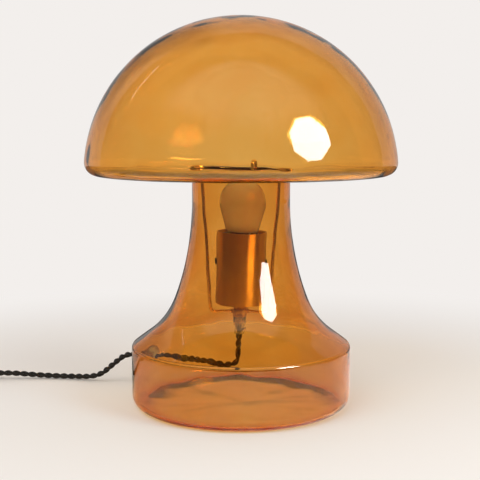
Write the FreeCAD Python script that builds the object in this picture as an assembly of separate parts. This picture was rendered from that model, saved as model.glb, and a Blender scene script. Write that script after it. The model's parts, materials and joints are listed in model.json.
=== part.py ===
import FreeCAD, Part
import math
import os

from FreeCAD import Vector

# A mushroom table lamp in amber blown glass. Millimetres, +Z up, the origin at the
# centre of the base's flat bottom, the front of the lamp towards -Y.
# Azimuths are counted from the front, positive towards +X.

os.makedirs("parts", exist_ok=True)

# ---- clearances -------------------------------------------------------------
seat_gap = 0.3           # between pieces that rest on each other, or lift apart
fit_gap = 0.1            # around a shank, tube or cord in its hole
press_gap = 0.05         # around a part that is glued or pressed into its hole

# ---- glass base: drum, shoulder, flare and neck in one blown piece -----------
drum_radius = 106.0
neck_radius = 47.0
rim_height = 229.0
base_wall = 3.0
heel_radius = 12.0
shoulder_slope = 36.0    # degrees below level
shoulder_radius = 5.0
neck_straight = 30.0     # plain length under the rim
flare_upper_radius = 270.0
flare_lower_radius = 75.0
flare_break = 69.7       # slope in degrees where the two flare arcs meet

# ---- glass shade: hemisphere with a turned-in bottom and a round opening -----
shade_radius = 149.0
shade_wall = 3.0
shade_corner_radius = 12.0
shade_foot_overlap = 3.4   # how far the shade's lip lies over each hook foot
shade_above_rim = 5.6      # how far the neck's rim stands above the shade's underside

# ---- wire hanger ------------------------------------------------------------
wire_radius = 1.5
arm_azimuths = (-75.0, 75.0, 163.0)
hook_inner_radius = 38.2   # from the lamp's axis to the inner leg, at the rim
hook_bend = 3.0
foot_bend = 2.4
foot_sleeve_wall = 0.8
foot_sleeve_end = 0.6
hanger_lean = 1.5          # degrees, the holder hangs with its top towards +X
lean_pivot_height = 138.0
crossbar_height = 90.7
crossbar_radius = 29.0     # from the hub's axis to the arm's lower bend
crossbar_bend = 5.0
hub_radius = 9.3
hub_height = 4.0
hub_socket_depth = 2.8

# ---- threaded tube and what is screwed on it ---------------------------------
nipple_radius = 5.0
nipple_bore = 3.5
nipple_in_grip = 6.0
spacer_radius = 6.1
spacer_height = 5.9
lower_nut_across = 12.0    # across flats
lower_nut_height = 4.0
upper_nut_across = 14.0
upper_nut_height = 3.0

# ---- cord and cord grip --------------------------------------------------------
cord_radius = 3.0
grip_collar_radius = 6.4
grip_collar_height = 8.4
grip_nose_radius = 4.8
grip_length = 17.7
grip_screw_radius = 1.6
grip_screw_head = 2.4
grip_screw_length = 3.6
cord_in_grip = 9.0
conductor_radius = 1.1
conductor_spread = 1.4     # half the distance between the conductors in the tube
conductor_rise = 2.0       # straight length above the tube
conductor_end = 8.0        # straight length into each terminal
conductor_bend = 5.0
grip_screw_slot = 0.8

# ---- holder cup ------------------------------------------------------------------
cup_radius = 23.9
cup_height = 69.7
cup_wall = 1.0
cup_floor = 1.5
cup_edge_radius = 0.8
cup_screw_radius = 1.5
cup_screw_head = 3.0
cup_screw_head_height = 1.2
cup_screw_depth = 3.0

# ---- lampholder inside the cup ---------------------------------------------------
holder_radius = 19.5
holder_cap_height = 30.4
holder_cap_floor = 2.5
holder_cap_wall = 2.0
insert_height = 11.0
sleeve_height = 21.5
sleeve_wall = 4.9
screw_shell_wall = 0.5
screw_shell_floor = 0.6
screw_shell_below_top = 1.5
contact_radius = 2.5
contact_height = 2.5
contact_clearance = 2.5    # bare ring between the centre contact and the shell's floor
terminal_offset = 10.0
terminal_block = 7.0
terminal_height = 6.0
terminal_screw_radius = 1.6
terminal_screw_head = 2.6
terminal_screw_height = 1.8

# ---- bulb --------------------------------------------------------------------------
globe_radius = 22.5
globe_wall = 1.2
globe_collar_radius = 13.0
bulb_length = 72.0
cap_length = 22.0
cap_radius = 13.1
cap_groove = 0.9
cap_pitch = 3.6
cap_turns = 5
cap_bore = 11.4
cap_insulator_height = 2.7
tip_radius = 4.5
tip_height = 1.0
led_plate_radius = 9.0
led_plate_height = 2.0
led_post_radius = 5.0
led_plate_gap = 3.0        # from the cap's top to the plate

# ---- cord outlet in the drum ---------------------------------------------------------
outlet_azimuth = -118.0
outlet_height = 37.0
grommet_body_radius = 6.0
grommet_flange_radius = 8.0
grommet_inner_flange = 1.6
grommet_outer_flange = 2.0
grommet_nose_radius = 4.6
grommet_nose_length = 8.0

# ---- in-line switch, lying along X -------------------------------------------------
switch_start = -262.0      # where the cord meets its first strain relief
switch_line = 88.0         # Y of the switch and of the cord that enters it
switch_axis_height = 7.0
switch_relief_length = 12.0
switch_relief_radius = 4.2
switch_relief_root = 5.2
switch_length = 48.0
switch_width = 26.0
switch_corner = 9.0
switch_cover_height = 9.5
switch_wall = 2.0
switch_edge = 2.5
rocker_reach = 10.5        # from its pivot to each end
rocker_width = 10.0
rocker_pivot_height = 13.2
rocker_pin_radius = 1.2
rocker_pin_length = 2.0
rocker_tilt = 8.0          # degrees, half of its travel
rocker_proud = 2.2
rocker_end_drop = 1.0      # the wings' ends lie this much below the crest of a flat rocker
rocker_dip = 1.2           # depth of the shallow valley between the wings
rocker_low_angle = -12.0   # where the wings' ends stop, in degrees below the pivot
rocker_frame_below = 1.5   # the cover's inner frame, below the pivot pins' holes
switch_relief_grip = 1.5   # how far a strain relief goes in behind the wall
switch_screw_offset = 17.0
switch_screw_side = 6.5
switch_screw_recess = 0.5
switch_pillar_wall = 1.0
switch_screw_radius = 1.3
switch_screw_head = 2.4
switch_screw_head_height = 1.5
switch_screw_length = 11.5
switch_terminal_offset = 5.0
switch_terminal_size = 4.0

# ---- plug, lying along -Y ------------------------------------------------------------
plug_relief_length = 22.0
plug_relief_radius = 4.2
plug_relief_root = 5.6
plug_body_length = 36.0
plug_body_width = 35.0
plug_body_height = 14.0
plug_body_taper = 9.0
plug_corner = 4.0
pin_radius = 2.0
pin_spacing = 19.0
pin_length = 19.0
pin_root = 6.0

# ---- cord routes ------------------------------------------------------------------------
# The centre line from inside the cord grip to the switch: down under the holder, a
# tight turn, out through the drum's wall, down to the table and away to the left.
cord_route = [
    (-1.60, 0.0, 76.0),
    (-2.64, 0.0, 37.5),
    (-37.1, 19.7, 35.8),
    (-114.8, 61.0, 37.5),
    (-134.0, 71.2, 21.0),
    (-150.5, 79.0, 5.4),
    (-181.0, 89.5, 3.0),
    (-214.0, 92.0, 3.6),
    (-242.0, 88.0, 7.0),
    (-262.0, 88.0, 7.0),
]
corner_share = 0.45        # of the shorter run that each rounded corner takes up

coil_outer_radius = 44.0   # of the centre line of the outermost turn
coil_pitch = 6.8           # from turn to turn and from layer to layer
coil_half_turns = 6        # in each of the two layers
coil_lead_in = (10.0, 24.0, 10.0)    # level, sloping, level
coil_lead_out = (18.0, 26.0, 12.0)

# ---- places worked out from the sizes above ------------------------------------------------
shade_underside = rim_height - shade_above_rim
hook_outer_radius = neck_radius + seat_gap + wire_radius
shade_opening_radius = hook_outer_radius + wire_radius + seat_gap
foot_sleeve_radius = wire_radius + foot_sleeve_wall
foot_height = shade_underside - seat_gap - foot_sleeve_radius
foot_reach = shade_opening_radius + shade_foot_overlap
hook_height = rim_height + seat_gap + wire_radius

hub_top = crossbar_height + hub_height / 2
hub_bottom = crossbar_height - hub_height / 2
cup_bottom = hub_top + spacer_height
cup_top = cup_bottom + cup_height
upper_nut_bottom = cup_bottom + cup_floor
cap_bottom = upper_nut_bottom + upper_nut_height
cap_top = cap_bottom + holder_cap_height
insert_top = cap_top + insert_height
sleeve_top = insert_top + sleeve_height
lower_nut_bottom = hub_bottom - lower_nut_height
grip_bottom = lower_nut_bottom - grip_length
cord_end_height = grip_bottom + cord_in_grip
nipple_bottom = lower_nut_bottom - nipple_in_grip
nipple_top = cap_bottom + holder_cap_floor

tip_bottom = insert_top + contact_height + seat_gap
globe_height = tip_bottom + bulb_length - globe_radius
bulb_cap_bottom = tip_bottom + tip_height + cap_insulator_height
bulb_cap_top = bulb_cap_bottom + cap_length

switch_body_start = switch_start - switch_relief_length
switch_body_end = switch_body_start - switch_length
switch_end = switch_body_end - switch_relief_length
switch_middle = (switch_body_start + switch_body_end) / 2
switch_top = switch_axis_height + switch_cover_height

coil_centre_x = switch_end - sum(coil_lead_in)
coil_centre_y = switch_line - coil_outer_radius
coil_top_height = cord_radius + coil_pitch
plug_axis_x = coil_centre_x - coil_outer_radius
plug_start = coil_centre_y - sum(coil_lead_out)
plug_axis_height = plug_body_height / 2
plug_body_start = plug_start - plug_relief_length
plug_face = plug_body_start - plug_body_length


# ---- helpers ---------------------------------------------------------------------------------
def at(r, z):
    """A point of an outline in the plane through the axis."""
    return Vector(r, 0, z)


def line(p, q):
    return Part.LineSegment(p, q).toShape()


def polar(centre, radius, angle):
    a = math.radians(angle)
    return centre + Vector(radius * math.cos(a), 0, radius * math.sin(a))


def arc(centre, radius, start, end):
    """An arc in the plane through the axis; angles in degrees from +X towards +Z."""
    middle = (start + end) / 2
    points = [polar(centre, radius, a) for a in (start, middle, end)]
    return Part.Arc(*points).toShape()


def closed_chain(edges):
    """Joins edges end to start with straight lines where they are apart, and closes them."""
    chain = []
    for edge, following in zip(edges, edges[1:] + edges[:1]):
        chain.append(edge)
        end = edge.lastVertex(True).Point
        start = following.firstVertex(True).Point
        if end.distanceToPoint(start) > 1e-6:
            chain.append(line(end, start))
    return Part.Wire(chain)


def turned(edges):
    """The solid of revolution about Z of a closed outline."""
    face = Part.Face(closed_chain(edges))
    return face.revolve(Vector(0, 0, 0), Vector(0, 0, 1), 360)


def turned_polygon(points):
    corners = [at(r, z) for r, z in points]
    edges = [line(p, q) for p, q in zip(corners, corners[1:] + corners[:1])]
    return turned(edges)


def rod(radius, length, place=Vector(0, 0, 0), direction=Vector(0, 0, 1)):
    return Part.makeCylinder(radius, length, place, direction)


def ring(outer, inner, bottom, height):
    return rod(outer, height, at(0, bottom)).cut(rod(inner, height, at(0, bottom)))


def hexagon(across, bottom, height, bore):
    corner = across / math.sqrt(3)
    points = [Vector(corner * math.cos(math.radians(60 * k)),
                     corner * math.sin(math.radians(60 * k)), bottom) for k in range(7)]
    block = Part.Face(Part.makePolygon(points)).extrude(Vector(0, 0, height))
    return block.cut(rod(bore, height, at(0, bottom)))


def outward(azimuth):
    """The level direction away from the axis at an azimuth."""
    a = math.radians(azimuth)
    return Vector(math.sin(a), -math.cos(a), 0)


def leaning(thing):
    """Moves a piece, or a point, from the upright axis to the leaning one of the holder."""
    turn = FreeCAD.Rotation(Vector(0, 1, 0), hanger_lean)
    place = FreeCAD.Placement(Vector(0, 0, 0), turn, at(0, lean_pivot_height))
    if isinstance(thing, Vector):
        return place.multVec(thing)
    moved = thing.copy()
    moved.transformShape(place.toMatrix())
    return moved


def cone_along(start, direction, length, first, last):
    return Part.makeCone(first, last, length, start, direction)


def rounded_path(points, radii):
    """Straight runs joined by tangent arcs; one radius for each inner point."""
    edges = []
    here = points[0]
    for before, corner, after, radius in zip(points, points[1:], points[2:], radii):
        back = (before - corner).normalize()
        ahead = (after - corner).normalize()
        half_turn = (math.pi - back.getAngle(ahead)) / 2
        reach = radius * math.tan(half_turn)
        first = corner + back * reach
        last = corner + ahead * reach
        bisector = (back + ahead).normalize()
        middle = corner + bisector * (radius / math.cos(half_turn) - radius)
        edges.append(line(here, first))
        edges.append(Part.Arc(first, middle, last).toShape())
        here = last
    edges.append(line(here, points[-1]))
    return edges


def cord_radii(points):
    """The largest radius that the two runs at each corner of a cord's route allow."""
    radii = []
    for before, corner, after in zip(points, points[1:], points[2:]):
        shorter = min(before.distanceToPoint(corner), after.distanceToPoint(corner))
        half_turn = (math.pi - (before - corner).getAngle(after - corner)) / 2
        radii.append(corner_share * shorter / math.tan(half_turn))
    return radii


def tube_along(edges, radius):
    """A round tube swept along tangent edges."""
    path = Part.Wire(edges)
    start = edges[0].firstVertex(True).Point
    heading = edges[0].tangentAt(edges[0].FirstParameter)
    section = Part.Wire(Part.makeCircle(radius, start, heading))
    return path.makePipeShell([section], True, False)


# ---- glass ---------------------------------------------------------------------------------------
def base_outline(inset):
    """The base's profile from the axis to the rim, drawn inset from the outer face."""
    upper = at(neck_radius + flare_upper_radius, rim_height - neck_straight)
    bend = polar(upper, flare_upper_radius - flare_lower_radius, 270 - flare_break)
    slope = math.radians(shoulder_slope)
    slope_start = polar(bend, flare_lower_radius + inset, 270 - shoulder_slope)
    corner_r = drum_radius - shoulder_radius
    on_slope = polar(bend, flare_lower_radius + shoulder_radius, 270 - shoulder_slope)
    corner_z = on_slope.z - (corner_r - on_slope.x) * math.tan(slope)
    heel = at(drum_radius - heel_radius, heel_radius)
    corner = at(corner_r, corner_z)
    return [
        line(at(0, inset), at(heel.x, inset)),
        arc(heel, heel_radius - inset, -90, 0),
        line(at(drum_radius - inset, heel.z), at(drum_radius - inset, corner_z)),
        arc(corner, shoulder_radius - inset, 0, 90 - shoulder_slope),
        line(polar(corner, shoulder_radius - inset, 90 - shoulder_slope), slope_start),
        arc(bend, flare_lower_radius + inset, 270 - shoulder_slope, 270 - flare_break),
        arc(upper, flare_upper_radius + inset, 270 - flare_break, 180),
        line(at(neck_radius - inset, upper.z), at(neck_radius - inset, rim_height - base_wall / 2)),
    ]


def shell_face(outer, lip, inner):
    """A closed face between an outer outline and the inner one, joined by a rounded lip."""
    loop = outer + [lip] + inner
    on_axis = [v.Point for edge in loop for v in edge.Vertexes if abs(v.Point.x) < 1e-6]
    loop.append(line(on_axis[0], on_axis[1]))
    return Part.Face(Part.Wire(Part.__sortEdges__(loop)))


def glass_base():
    middle = at(neck_radius - base_wall / 2, rim_height - base_wall / 2)
    lip = arc(middle, base_wall / 2, 0, 180)
    face = shell_face(base_outline(0), lip, base_outline(base_wall))
    body = face.revolve(Vector(0, 0, 0), Vector(0, 0, 1), 360)
    direction = outward(outlet_azimuth)
    start = direction * (drum_radius - 3 * base_wall) + at(0, outlet_height)
    return body.cut(rod(grommet_body_radius + fit_gap, 6 * base_wall, start, direction))


def shade_outline(inset):
    """The shade's profile from its opening to the crown, drawn inset from the outer face."""
    crown = at(0, shade_underside)
    reach = shade_radius - shade_corner_radius
    corner = at(math.sqrt(reach ** 2 - shade_corner_radius ** 2), shade_underside + shade_corner_radius)
    meeting = math.degrees(math.asin(shade_corner_radius / reach))
    lip_r = shade_opening_radius + shade_wall / 2
    return [
        line(at(lip_r, shade_underside + inset), at(corner.x, shade_underside + inset)),
        arc(corner, shade_corner_radius - inset, -90, meeting),
        arc(crown, shade_radius - inset, meeting, 90),
    ]


def glass_shade():
    lip_r = shade_opening_radius + shade_wall / 2
    lip = arc(at(lip_r, shade_underside + shade_wall / 2), shade_wall / 2, 90, 270)
    face = shell_face(shade_outline(0), lip, shade_outline(shade_wall))
    return face.revolve(Vector(0, 0, 0), Vector(0, 0, 1), 360)


# ---- hanger ------------------------------------------------------------------------------------
def hanger_arm(azimuth):
    """One wire: foot, hook over the rim, arm down the neck and level run to the hub."""
    away = outward(azimuth)
    up = Vector(0, 0, 1)
    points = [
        away * foot_reach + up * foot_height,
        away * hook_outer_radius + up * foot_height,
        away * hook_outer_radius + up * hook_height,
        away * hook_inner_radius + up * hook_height,
        leaning(away * crossbar_radius + up * crossbar_height),
        leaning(away * (hub_radius - hub_socket_depth + press_gap) + up * crossbar_height),
    ]
    bends = [foot_bend, hook_bend, hook_bend, crossbar_bend]
    return tube_along(rounded_path(points, bends), wire_radius)


def foot_sleeve(azimuth):
    """A soft clear cap on a hook's foot, under the shade's lip."""
    away = outward(azimuth)
    start = away * (hook_outer_radius + foot_bend) + at(0, foot_height)
    length = foot_reach - hook_outer_radius - foot_bend + foot_sleeve_end
    bore = rod(wire_radius + press_gap, length - foot_sleeve_end + press_gap, start, away)
    return rod(foot_sleeve_radius, length, start, away).cut(bore)


def hanger_hub():
    body = ring(hub_radius, nipple_radius + fit_gap, hub_bottom, hub_height)
    for azimuth in arm_azimuths:
        away = outward(azimuth)
        start = away * (hub_radius - hub_socket_depth) + at(0, crossbar_height)
        body = body.cut(rod(wire_radius + press_gap, 2 * hub_socket_depth, start, away))
    return leaning(body)


# ---- threaded tube, nuts, cord grip ---------------------------------------------------------------
def nipple():
    return leaning(ring(nipple_radius, nipple_bore, nipple_bottom, nipple_top - nipple_bottom))


def hub_spacer():
    return leaning(ring(spacer_radius, nipple_radius + fit_gap, hub_top, spacer_height))


def lower_nut():
    return leaning(hexagon(lower_nut_across, lower_nut_bottom, lower_nut_height,
                           nipple_radius + fit_gap))


def upper_nut():
    return leaning(hexagon(upper_nut_across, upper_nut_bottom, upper_nut_height,
                           nipple_radius + fit_gap))


def grip_screw_height():
    return grip_bottom + (grip_length - grip_collar_height) / 2


def cord_grip():
    collar_bottom = lower_nut_bottom - grip_collar_height
    body = rod(grip_collar_radius, grip_collar_height, at(0, collar_bottom))
    body = body.fuse(rod(grip_nose_radius, grip_length - grip_collar_height, at(0, grip_bottom)))
    body = body.cut(rod(nipple_radius + fit_gap, nipple_in_grip + fit_gap,
                        at(0, nipple_bottom - fit_gap)))
    body = body.cut(rod(cord_radius + fit_gap, grip_length, at(0, grip_bottom)))
    screw_hole = rod(grip_screw_radius + press_gap, grip_nose_radius, at(0, grip_screw_height()),
                     Vector(1, 0, 0))
    return leaning(body.cut(screw_hole))


def grip_screw():
    """The screw in the grip's side that pinches the cord; its head has a slot."""
    start = at(cord_radius + fit_gap, grip_screw_height())
    shank_end = grip_nose_radius + fit_gap
    shank = rod(grip_screw_radius, shank_end - start.x, start, Vector(1, 0, 0))
    head_length = grip_screw_length - (shank_end - start.x)
    head = rod(grip_screw_head, head_length, at(shank_end, start.z), Vector(1, 0, 0))
    corner = Vector(shank_end + head_length / 2, -grip_screw_head, start.z - grip_screw_slot / 2)
    slot = Part.makeBox(head_length, 2 * grip_screw_head, grip_screw_slot, corner)
    return leaning(shank.fuse(head).cut(slot).removeSplitter())


def conductors():
    """The cord's two insulated conductors, up the threaded tube to the terminals."""
    wires = []
    for side in (-1, 1):
        spread = side * conductor_spread
        points = [
            at(spread, cord_end_height + press_gap),
            at(spread, nipple_top + conductor_rise),
            at(side * terminal_offset, cap_top - terminal_height - conductor_end),
            at(side * terminal_offset, cap_top - terminal_height),
        ]
        bends = [conductor_bend, conductor_bend]
        wires.append(tube_along(rounded_path(points, bends), conductor_radius))
    return leaning(Part.makeCompound(wires))


# ---- holder cup and lampholder -------------------------------------------------------------------------
def cup_screw_place():
    return (cap_top + insert_top) / 2


def holder_cup():
    corner = at(cup_radius - cup_edge_radius, cup_bottom + cup_edge_radius)
    inside = cup_radius - cup_wall
    floor_top = cup_bottom + cup_floor
    edges = [
        line(at(0, cup_bottom), at(corner.x, cup_bottom)),
        arc(corner, cup_edge_radius, -90, 0),
        line(at(cup_radius, corner.z), at(cup_radius, cup_top)),
        line(at(inside, cup_top), at(inside, floor_top)),
        line(at(inside, floor_top), at(0, floor_top)),
    ]
    body = turned(edges).cut(rod(nipple_radius + fit_gap, cup_floor, at(0, cup_bottom)))
    across = rod(cup_screw_radius + fit_gap, 2 * cup_radius, at(-cup_radius, cup_screw_place()),
                 Vector(1, 0, 0))
    return leaning(body.cut(across))


def cup_screws():
    """Two grub screws with thin heads, one each side, that hold the cup to the insert."""
    screws = []
    for side in (-1, 1):
        away = Vector(side, 0, 0)
        start = away * (holder_radius - cup_screw_depth) + at(0, cup_screw_place())
        shank = rod(cup_screw_radius, cup_radius - abs(start.x), start, away)
        head_start = away * cup_radius + at(0, cup_screw_place())
        head = rod(cup_screw_head, cup_screw_head_height, head_start, away)
        screws.append(shank.fuse(head).removeSplitter())
    return leaning(Part.makeCompound(screws))


def holder_cap():
    body = ring(holder_radius, holder_radius - holder_cap_wall, cap_bottom, holder_cap_height)
    floor = ring(holder_radius, nipple_radius + fit_gap, cap_bottom, holder_cap_floor)
    return leaning(body.fuse(floor).removeSplitter())


def holder_insert():
    """The ceramic disc that carries the contacts above and the terminals below."""
    body = rod(holder_radius, insert_height, at(0, cap_top))
    for side in (-1, 1):
        away = Vector(side, 0, 0)
        start = away * (holder_radius - cup_screw_depth - fit_gap) + at(0, cup_screw_place())
        body = body.cut(rod(cup_screw_radius + press_gap, 2 * cup_screw_depth, start, away))
    return leaning(body)


def terminals():
    """The two brass clamping blocks under the insert."""
    half = terminal_block / 2
    blocks = []
    for side in (-1, 1):
        corner = Vector(side * terminal_offset - half, -half, cap_top - terminal_height)
        blocks.append(Part.makeBox(terminal_block, terminal_block, terminal_height, corner))
    return leaning(Part.makeCompound(blocks))


def terminal_screws():
    """One screw through the front of each clamping block."""
    screws = []
    for side in (-1, 1):
        face = Vector(side * terminal_offset, -terminal_block / 2, cap_top - terminal_height / 2)
        toward = Vector(0, -1, 0)
        screws.append(rod(terminal_screw_head, terminal_screw_height, face, toward))
    return leaning(Part.makeCompound(screws))


def holder_sleeve():
    return leaning(ring(holder_radius, holder_radius - sleeve_wall, insert_top, sleeve_height))


def screw_shell():
    """The threaded metal shell that takes the bulb's cap, with its floor on the insert."""
    outer = holder_radius - sleeve_wall - fit_gap
    height = sleeve_height - screw_shell_below_top
    wall = ring(outer, outer - screw_shell_wall, insert_top, height)
    floor = ring(outer, contact_radius + contact_clearance, insert_top, screw_shell_floor)
    return leaning(wall.fuse(floor).removeSplitter())


def centre_contact():
    return leaning(rod(contact_radius, contact_height, at(0, insert_top)))


# ---- bulb ---------------------------------------------------------------------------------------------
def globe_outline(inset):
    """Sphere and straight taper to the collar, from the crown down."""
    centre = at(0, globe_height)
    radius = globe_radius - inset
    collar = at(globe_collar_radius - inset, bulb_cap_top)
    distance = centre.distanceToPoint(collar)
    toward = math.degrees(math.atan2(collar.z - centre.z, collar.x))
    leaving = toward + math.degrees(math.acos(min(1.0, radius / distance)))
    return [arc(centre, radius, 90, leaving), line(polar(centre, radius, leaving), collar)]


def bulb_globe():
    outer = globe_outline(0)
    inner = globe_outline(globe_wall)
    foot = line(outer[-1].Vertexes[-1].Point, inner[-1].Vertexes[-1].Point)
    crown = line(at(0, globe_height + globe_radius), at(0, globe_height + globe_radius - globe_wall))
    wire = Part.Wire(Part.__sortEdges__(outer + inner + [foot, crown]))
    return leaning(Part.Face(wire).revolve(Vector(0, 0, 0), Vector(0, 0, 1), 360))


def bulb_cap():
    """The screw cap; its thread is drawn as round ribs of the thread's pitch."""
    edges = []
    bottom = bulb_cap_bottom + (cap_length - cap_turns * cap_pitch) / 2
    root = cap_radius - cap_groove
    sag = (cap_pitch ** 2 / 4 + cap_groove ** 2) / (2 * cap_groove)
    half = math.degrees(math.asin(cap_pitch / 2 / sag))
    for turn in range(cap_turns):
        middle = at(cap_radius - sag, bottom + (turn + 0.5) * cap_pitch)
        edges.append(arc(middle, sag, -half, half))
    first = at(root, bulb_cap_bottom)
    last = at(root, bulb_cap_top)
    top = bottom + cap_turns * cap_pitch
    edges.insert(0, line(first, at(root, bottom)))
    edges.append(line(at(root, top), last))
    edges.append(line(last, at(cap_bore, bulb_cap_top)))
    edges.append(line(at(cap_bore, bulb_cap_top), at(cap_bore, bulb_cap_bottom)))
    edges.append(line(at(cap_bore, bulb_cap_bottom), first))
    return leaning(Part.Face(Part.Wire(edges)).revolve(Vector(0, 0, 0), Vector(0, 0, 1), 360))


def bulb_insulator():
    bottom = tip_bottom + tip_height
    root = cap_radius - cap_groove
    points = [(0, bottom), (tip_radius, bottom), (root, bulb_cap_bottom), (0, bulb_cap_bottom)]
    return leaning(turned_polygon(points))


def bulb_tip():
    return leaning(rod(tip_radius, tip_height, at(0, tip_bottom)))


def led_module():
    """The light source inside the opal globe: a post from the cap and a round plate."""
    plate_bottom = bulb_cap_top + led_plate_gap
    post = rod(led_post_radius, plate_bottom - bulb_cap_bottom, at(0, bulb_cap_bottom))
    plate = rod(led_plate_radius, led_plate_height, at(0, plate_bottom))
    return leaning(post.fuse(plate).removeSplitter())


# ---- cord, grommet, coil -------------------------------------------------------------------------------
def cord_grommet():
    """A soft bush in the drum's wall: inner flange, waist, outer flange and tapered nose."""
    inner_face = drum_radius - base_wall - seat_gap - press_gap
    outer_face = drum_radius + press_gap
    bore = cord_radius + seat_gap
    points = [
        (bore, inner_face - grommet_inner_flange),
        (grommet_flange_radius, inner_face - grommet_inner_flange),
        (grommet_flange_radius, inner_face),
        (grommet_body_radius, inner_face),
        (grommet_body_radius, outer_face),
        (grommet_flange_radius, outer_face),
        (grommet_flange_radius, outer_face + grommet_outer_flange),
        (grommet_nose_radius, outer_face + grommet_nose_length),
        (bore, outer_face + grommet_nose_length),
    ]
    bush = turned_polygon(points)
    turn = FreeCAD.Rotation(Vector(0, 0, 1), outward(outlet_azimuth))
    place = FreeCAD.Placement(at(0, outlet_height), turn)
    bush.transformShape(place.toMatrix())
    return bush


def report_tube(name, solid, edges, radii):
    length = sum(edge.Length for edge in edges)
    expected = math.pi * cord_radius ** 2 * length
    print(name, "length", round(length, 1), "volume over section times length",
          round(solid.Volume / expected, 4), "valid", solid.isValid())
    if radii:
        print(name, "radii", [round(r, 1) for r in radii])


def mains_cord():
    points = [Vector(*p) for p in cord_route]
    radii = cord_radii(points)
    edges = rounded_path(points, radii)
    solid = tube_along(edges, cord_radius)
    report_tube("mains_cord", solid, edges, radii)
    return solid


def half_circle(start, end, side):
    """A level half turn from start to end, bulging towards side."""
    middle = (start + end) * 0.5 + side * (start.distanceToPoint(end) / 2)
    return Part.Arc(start, middle, end).toShape()


def climbing_half_turn(start, end, heading):
    """Two tangent arcs of about a quarter turn from one layer up to the next."""
    across = (end - start).Length / 2
    top = (start + end) * 0.5 + heading * across
    edges = []
    for first, last, leg in ((start, top, start + heading * across),
                             (top, end, end + heading * across)):
        centre_ward = ((first + last) * 0.5 - leg).normalize()
        bulge = across * (math.sqrt(2) - 1)
        edges.append(Part.Arc(first, leg + centre_ward * bulge, last).toShape())
    return edges


def opposite(place, growth):
    """The place across the coil from this one, with the turn's radius grown by growth."""
    return -math.copysign(abs(place) + growth, place)


def coil_edges():
    """Two layers of loops: in along the table, up half a turn, and out again on top."""
    centre = Vector(coil_centre_x, coil_centre_y, 0)
    out = Vector(0, 1, 0)
    left = Vector(-1, 0, 0)
    sides = (left, left * -1)
    low = centre + Vector(0, 0, cord_radius)
    high = centre + Vector(0, 0, coil_top_height)
    edges = []
    place = coil_outer_radius
    for step in range(coil_half_turns):
        following = opposite(place, -coil_pitch * (step % 2))
        edges.append(half_circle(low + out * place, low + out * following, sides[step % 2]))
        place = following
    edges += climbing_half_turn(low + out * place, high - out * place, left)
    place = -place
    for step in range(coil_half_turns - 1):
        following = opposite(place, coil_pitch * (1 - step % 2))
        edges.append(half_circle(high + out * place, high + out * following, sides[1 - step % 2]))
        place = following
    middle = high + (left + out) * (place / math.sqrt(2))
    edges.append(Part.Arc(high + out * place, middle, high + left * place).toShape())
    return edges


def sloping_lead(start, heading, lengths, drop):
    """Level, sloping and level again: the cord's way down to another height."""
    first = start + heading * lengths[0]
    second = first + heading * lengths[1] - Vector(0, 0, drop)
    end = second + heading * lengths[2]
    points = [start, first, second, end]
    return rounded_path(points, cord_radii(points))


def least_gap(edges, radius, step=1.5):
    """The least distance between stretches of a tube that aren't neighbours."""
    points = []
    along = 0.0
    for edge in edges:
        count = max(2, int(edge.Length / step))
        for k in range(count):
            parameter = edge.getParameterByLength(edge.Length * k / count)
            points.append((along + edge.Length * k / count, edge.valueAt(parameter)))
        along += edge.Length
    least = 1e9
    for i, (s, p) in enumerate(points):
        for t, q in points[i + 1:]:
            if t - s > 8 * radius:
                least = min(least, p.distanceToPoint(q))
    return least - 2 * radius


def cord_coil():
    start = Vector(switch_end, switch_line, switch_axis_height)
    lead_in = sloping_lead(start, Vector(-1, 0, 0), coil_lead_in, switch_axis_height - cord_radius)
    loops = coil_edges()
    leaving = loops[-1].lastVertex(True).Point
    lead_out = sloping_lead(leaving, Vector(0, -1, 0), coil_lead_out,
                            coil_top_height - plug_axis_height)
    edges = lead_in + loops + lead_out
    solid = tube_along(edges, cord_radius)
    report_tube("cord_coil", solid, edges, None)
    print("cord_coil least gap", round(least_gap(edges, cord_radius), 2))
    return solid


# ---- in-line switch -------------------------------------------------------------------------------------
def rounded_block(length, width, corner, bottom, height, centre):
    """A block with round upright corners, its length along X."""
    block = Part.makeBox(length, width, height,
                         Vector(centre.x - length / 2, centre.y - width / 2, bottom))
    upright = [e for e in block.Edges
               if abs(e.Vertexes[0].Point.z - e.Vertexes[1].Point.z) > height / 2]
    return block.makeFillet(corner, upright)


def edges_at_height(shape, height):
    return [e for e in shape.Edges if all(abs(v.Point.z - height) < 1e-4 for v in e.Vertexes)]


def switch_centre():
    return Vector(switch_middle, switch_line, 0)


def relief_holes():
    """The bore through both ends of the switch, for its strain reliefs."""
    across = switch_length + 2 * switch_wall
    start = Vector(switch_middle + across / 2, switch_line, switch_axis_height)
    return rod(switch_relief_root + press_gap, across, start, Vector(-1, 0, 0))


def screw_pillar(radius, bottom, height):
    """Two upright rods at the switch's screws."""
    pillars = []
    for side in (-1, 1):
        foot = switch_centre() + Vector(side * switch_screw_offset, side * switch_screw_side, bottom)
        pillars.append(rod(radius, height, foot))
    return Part.makeCompound(pillars)


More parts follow.
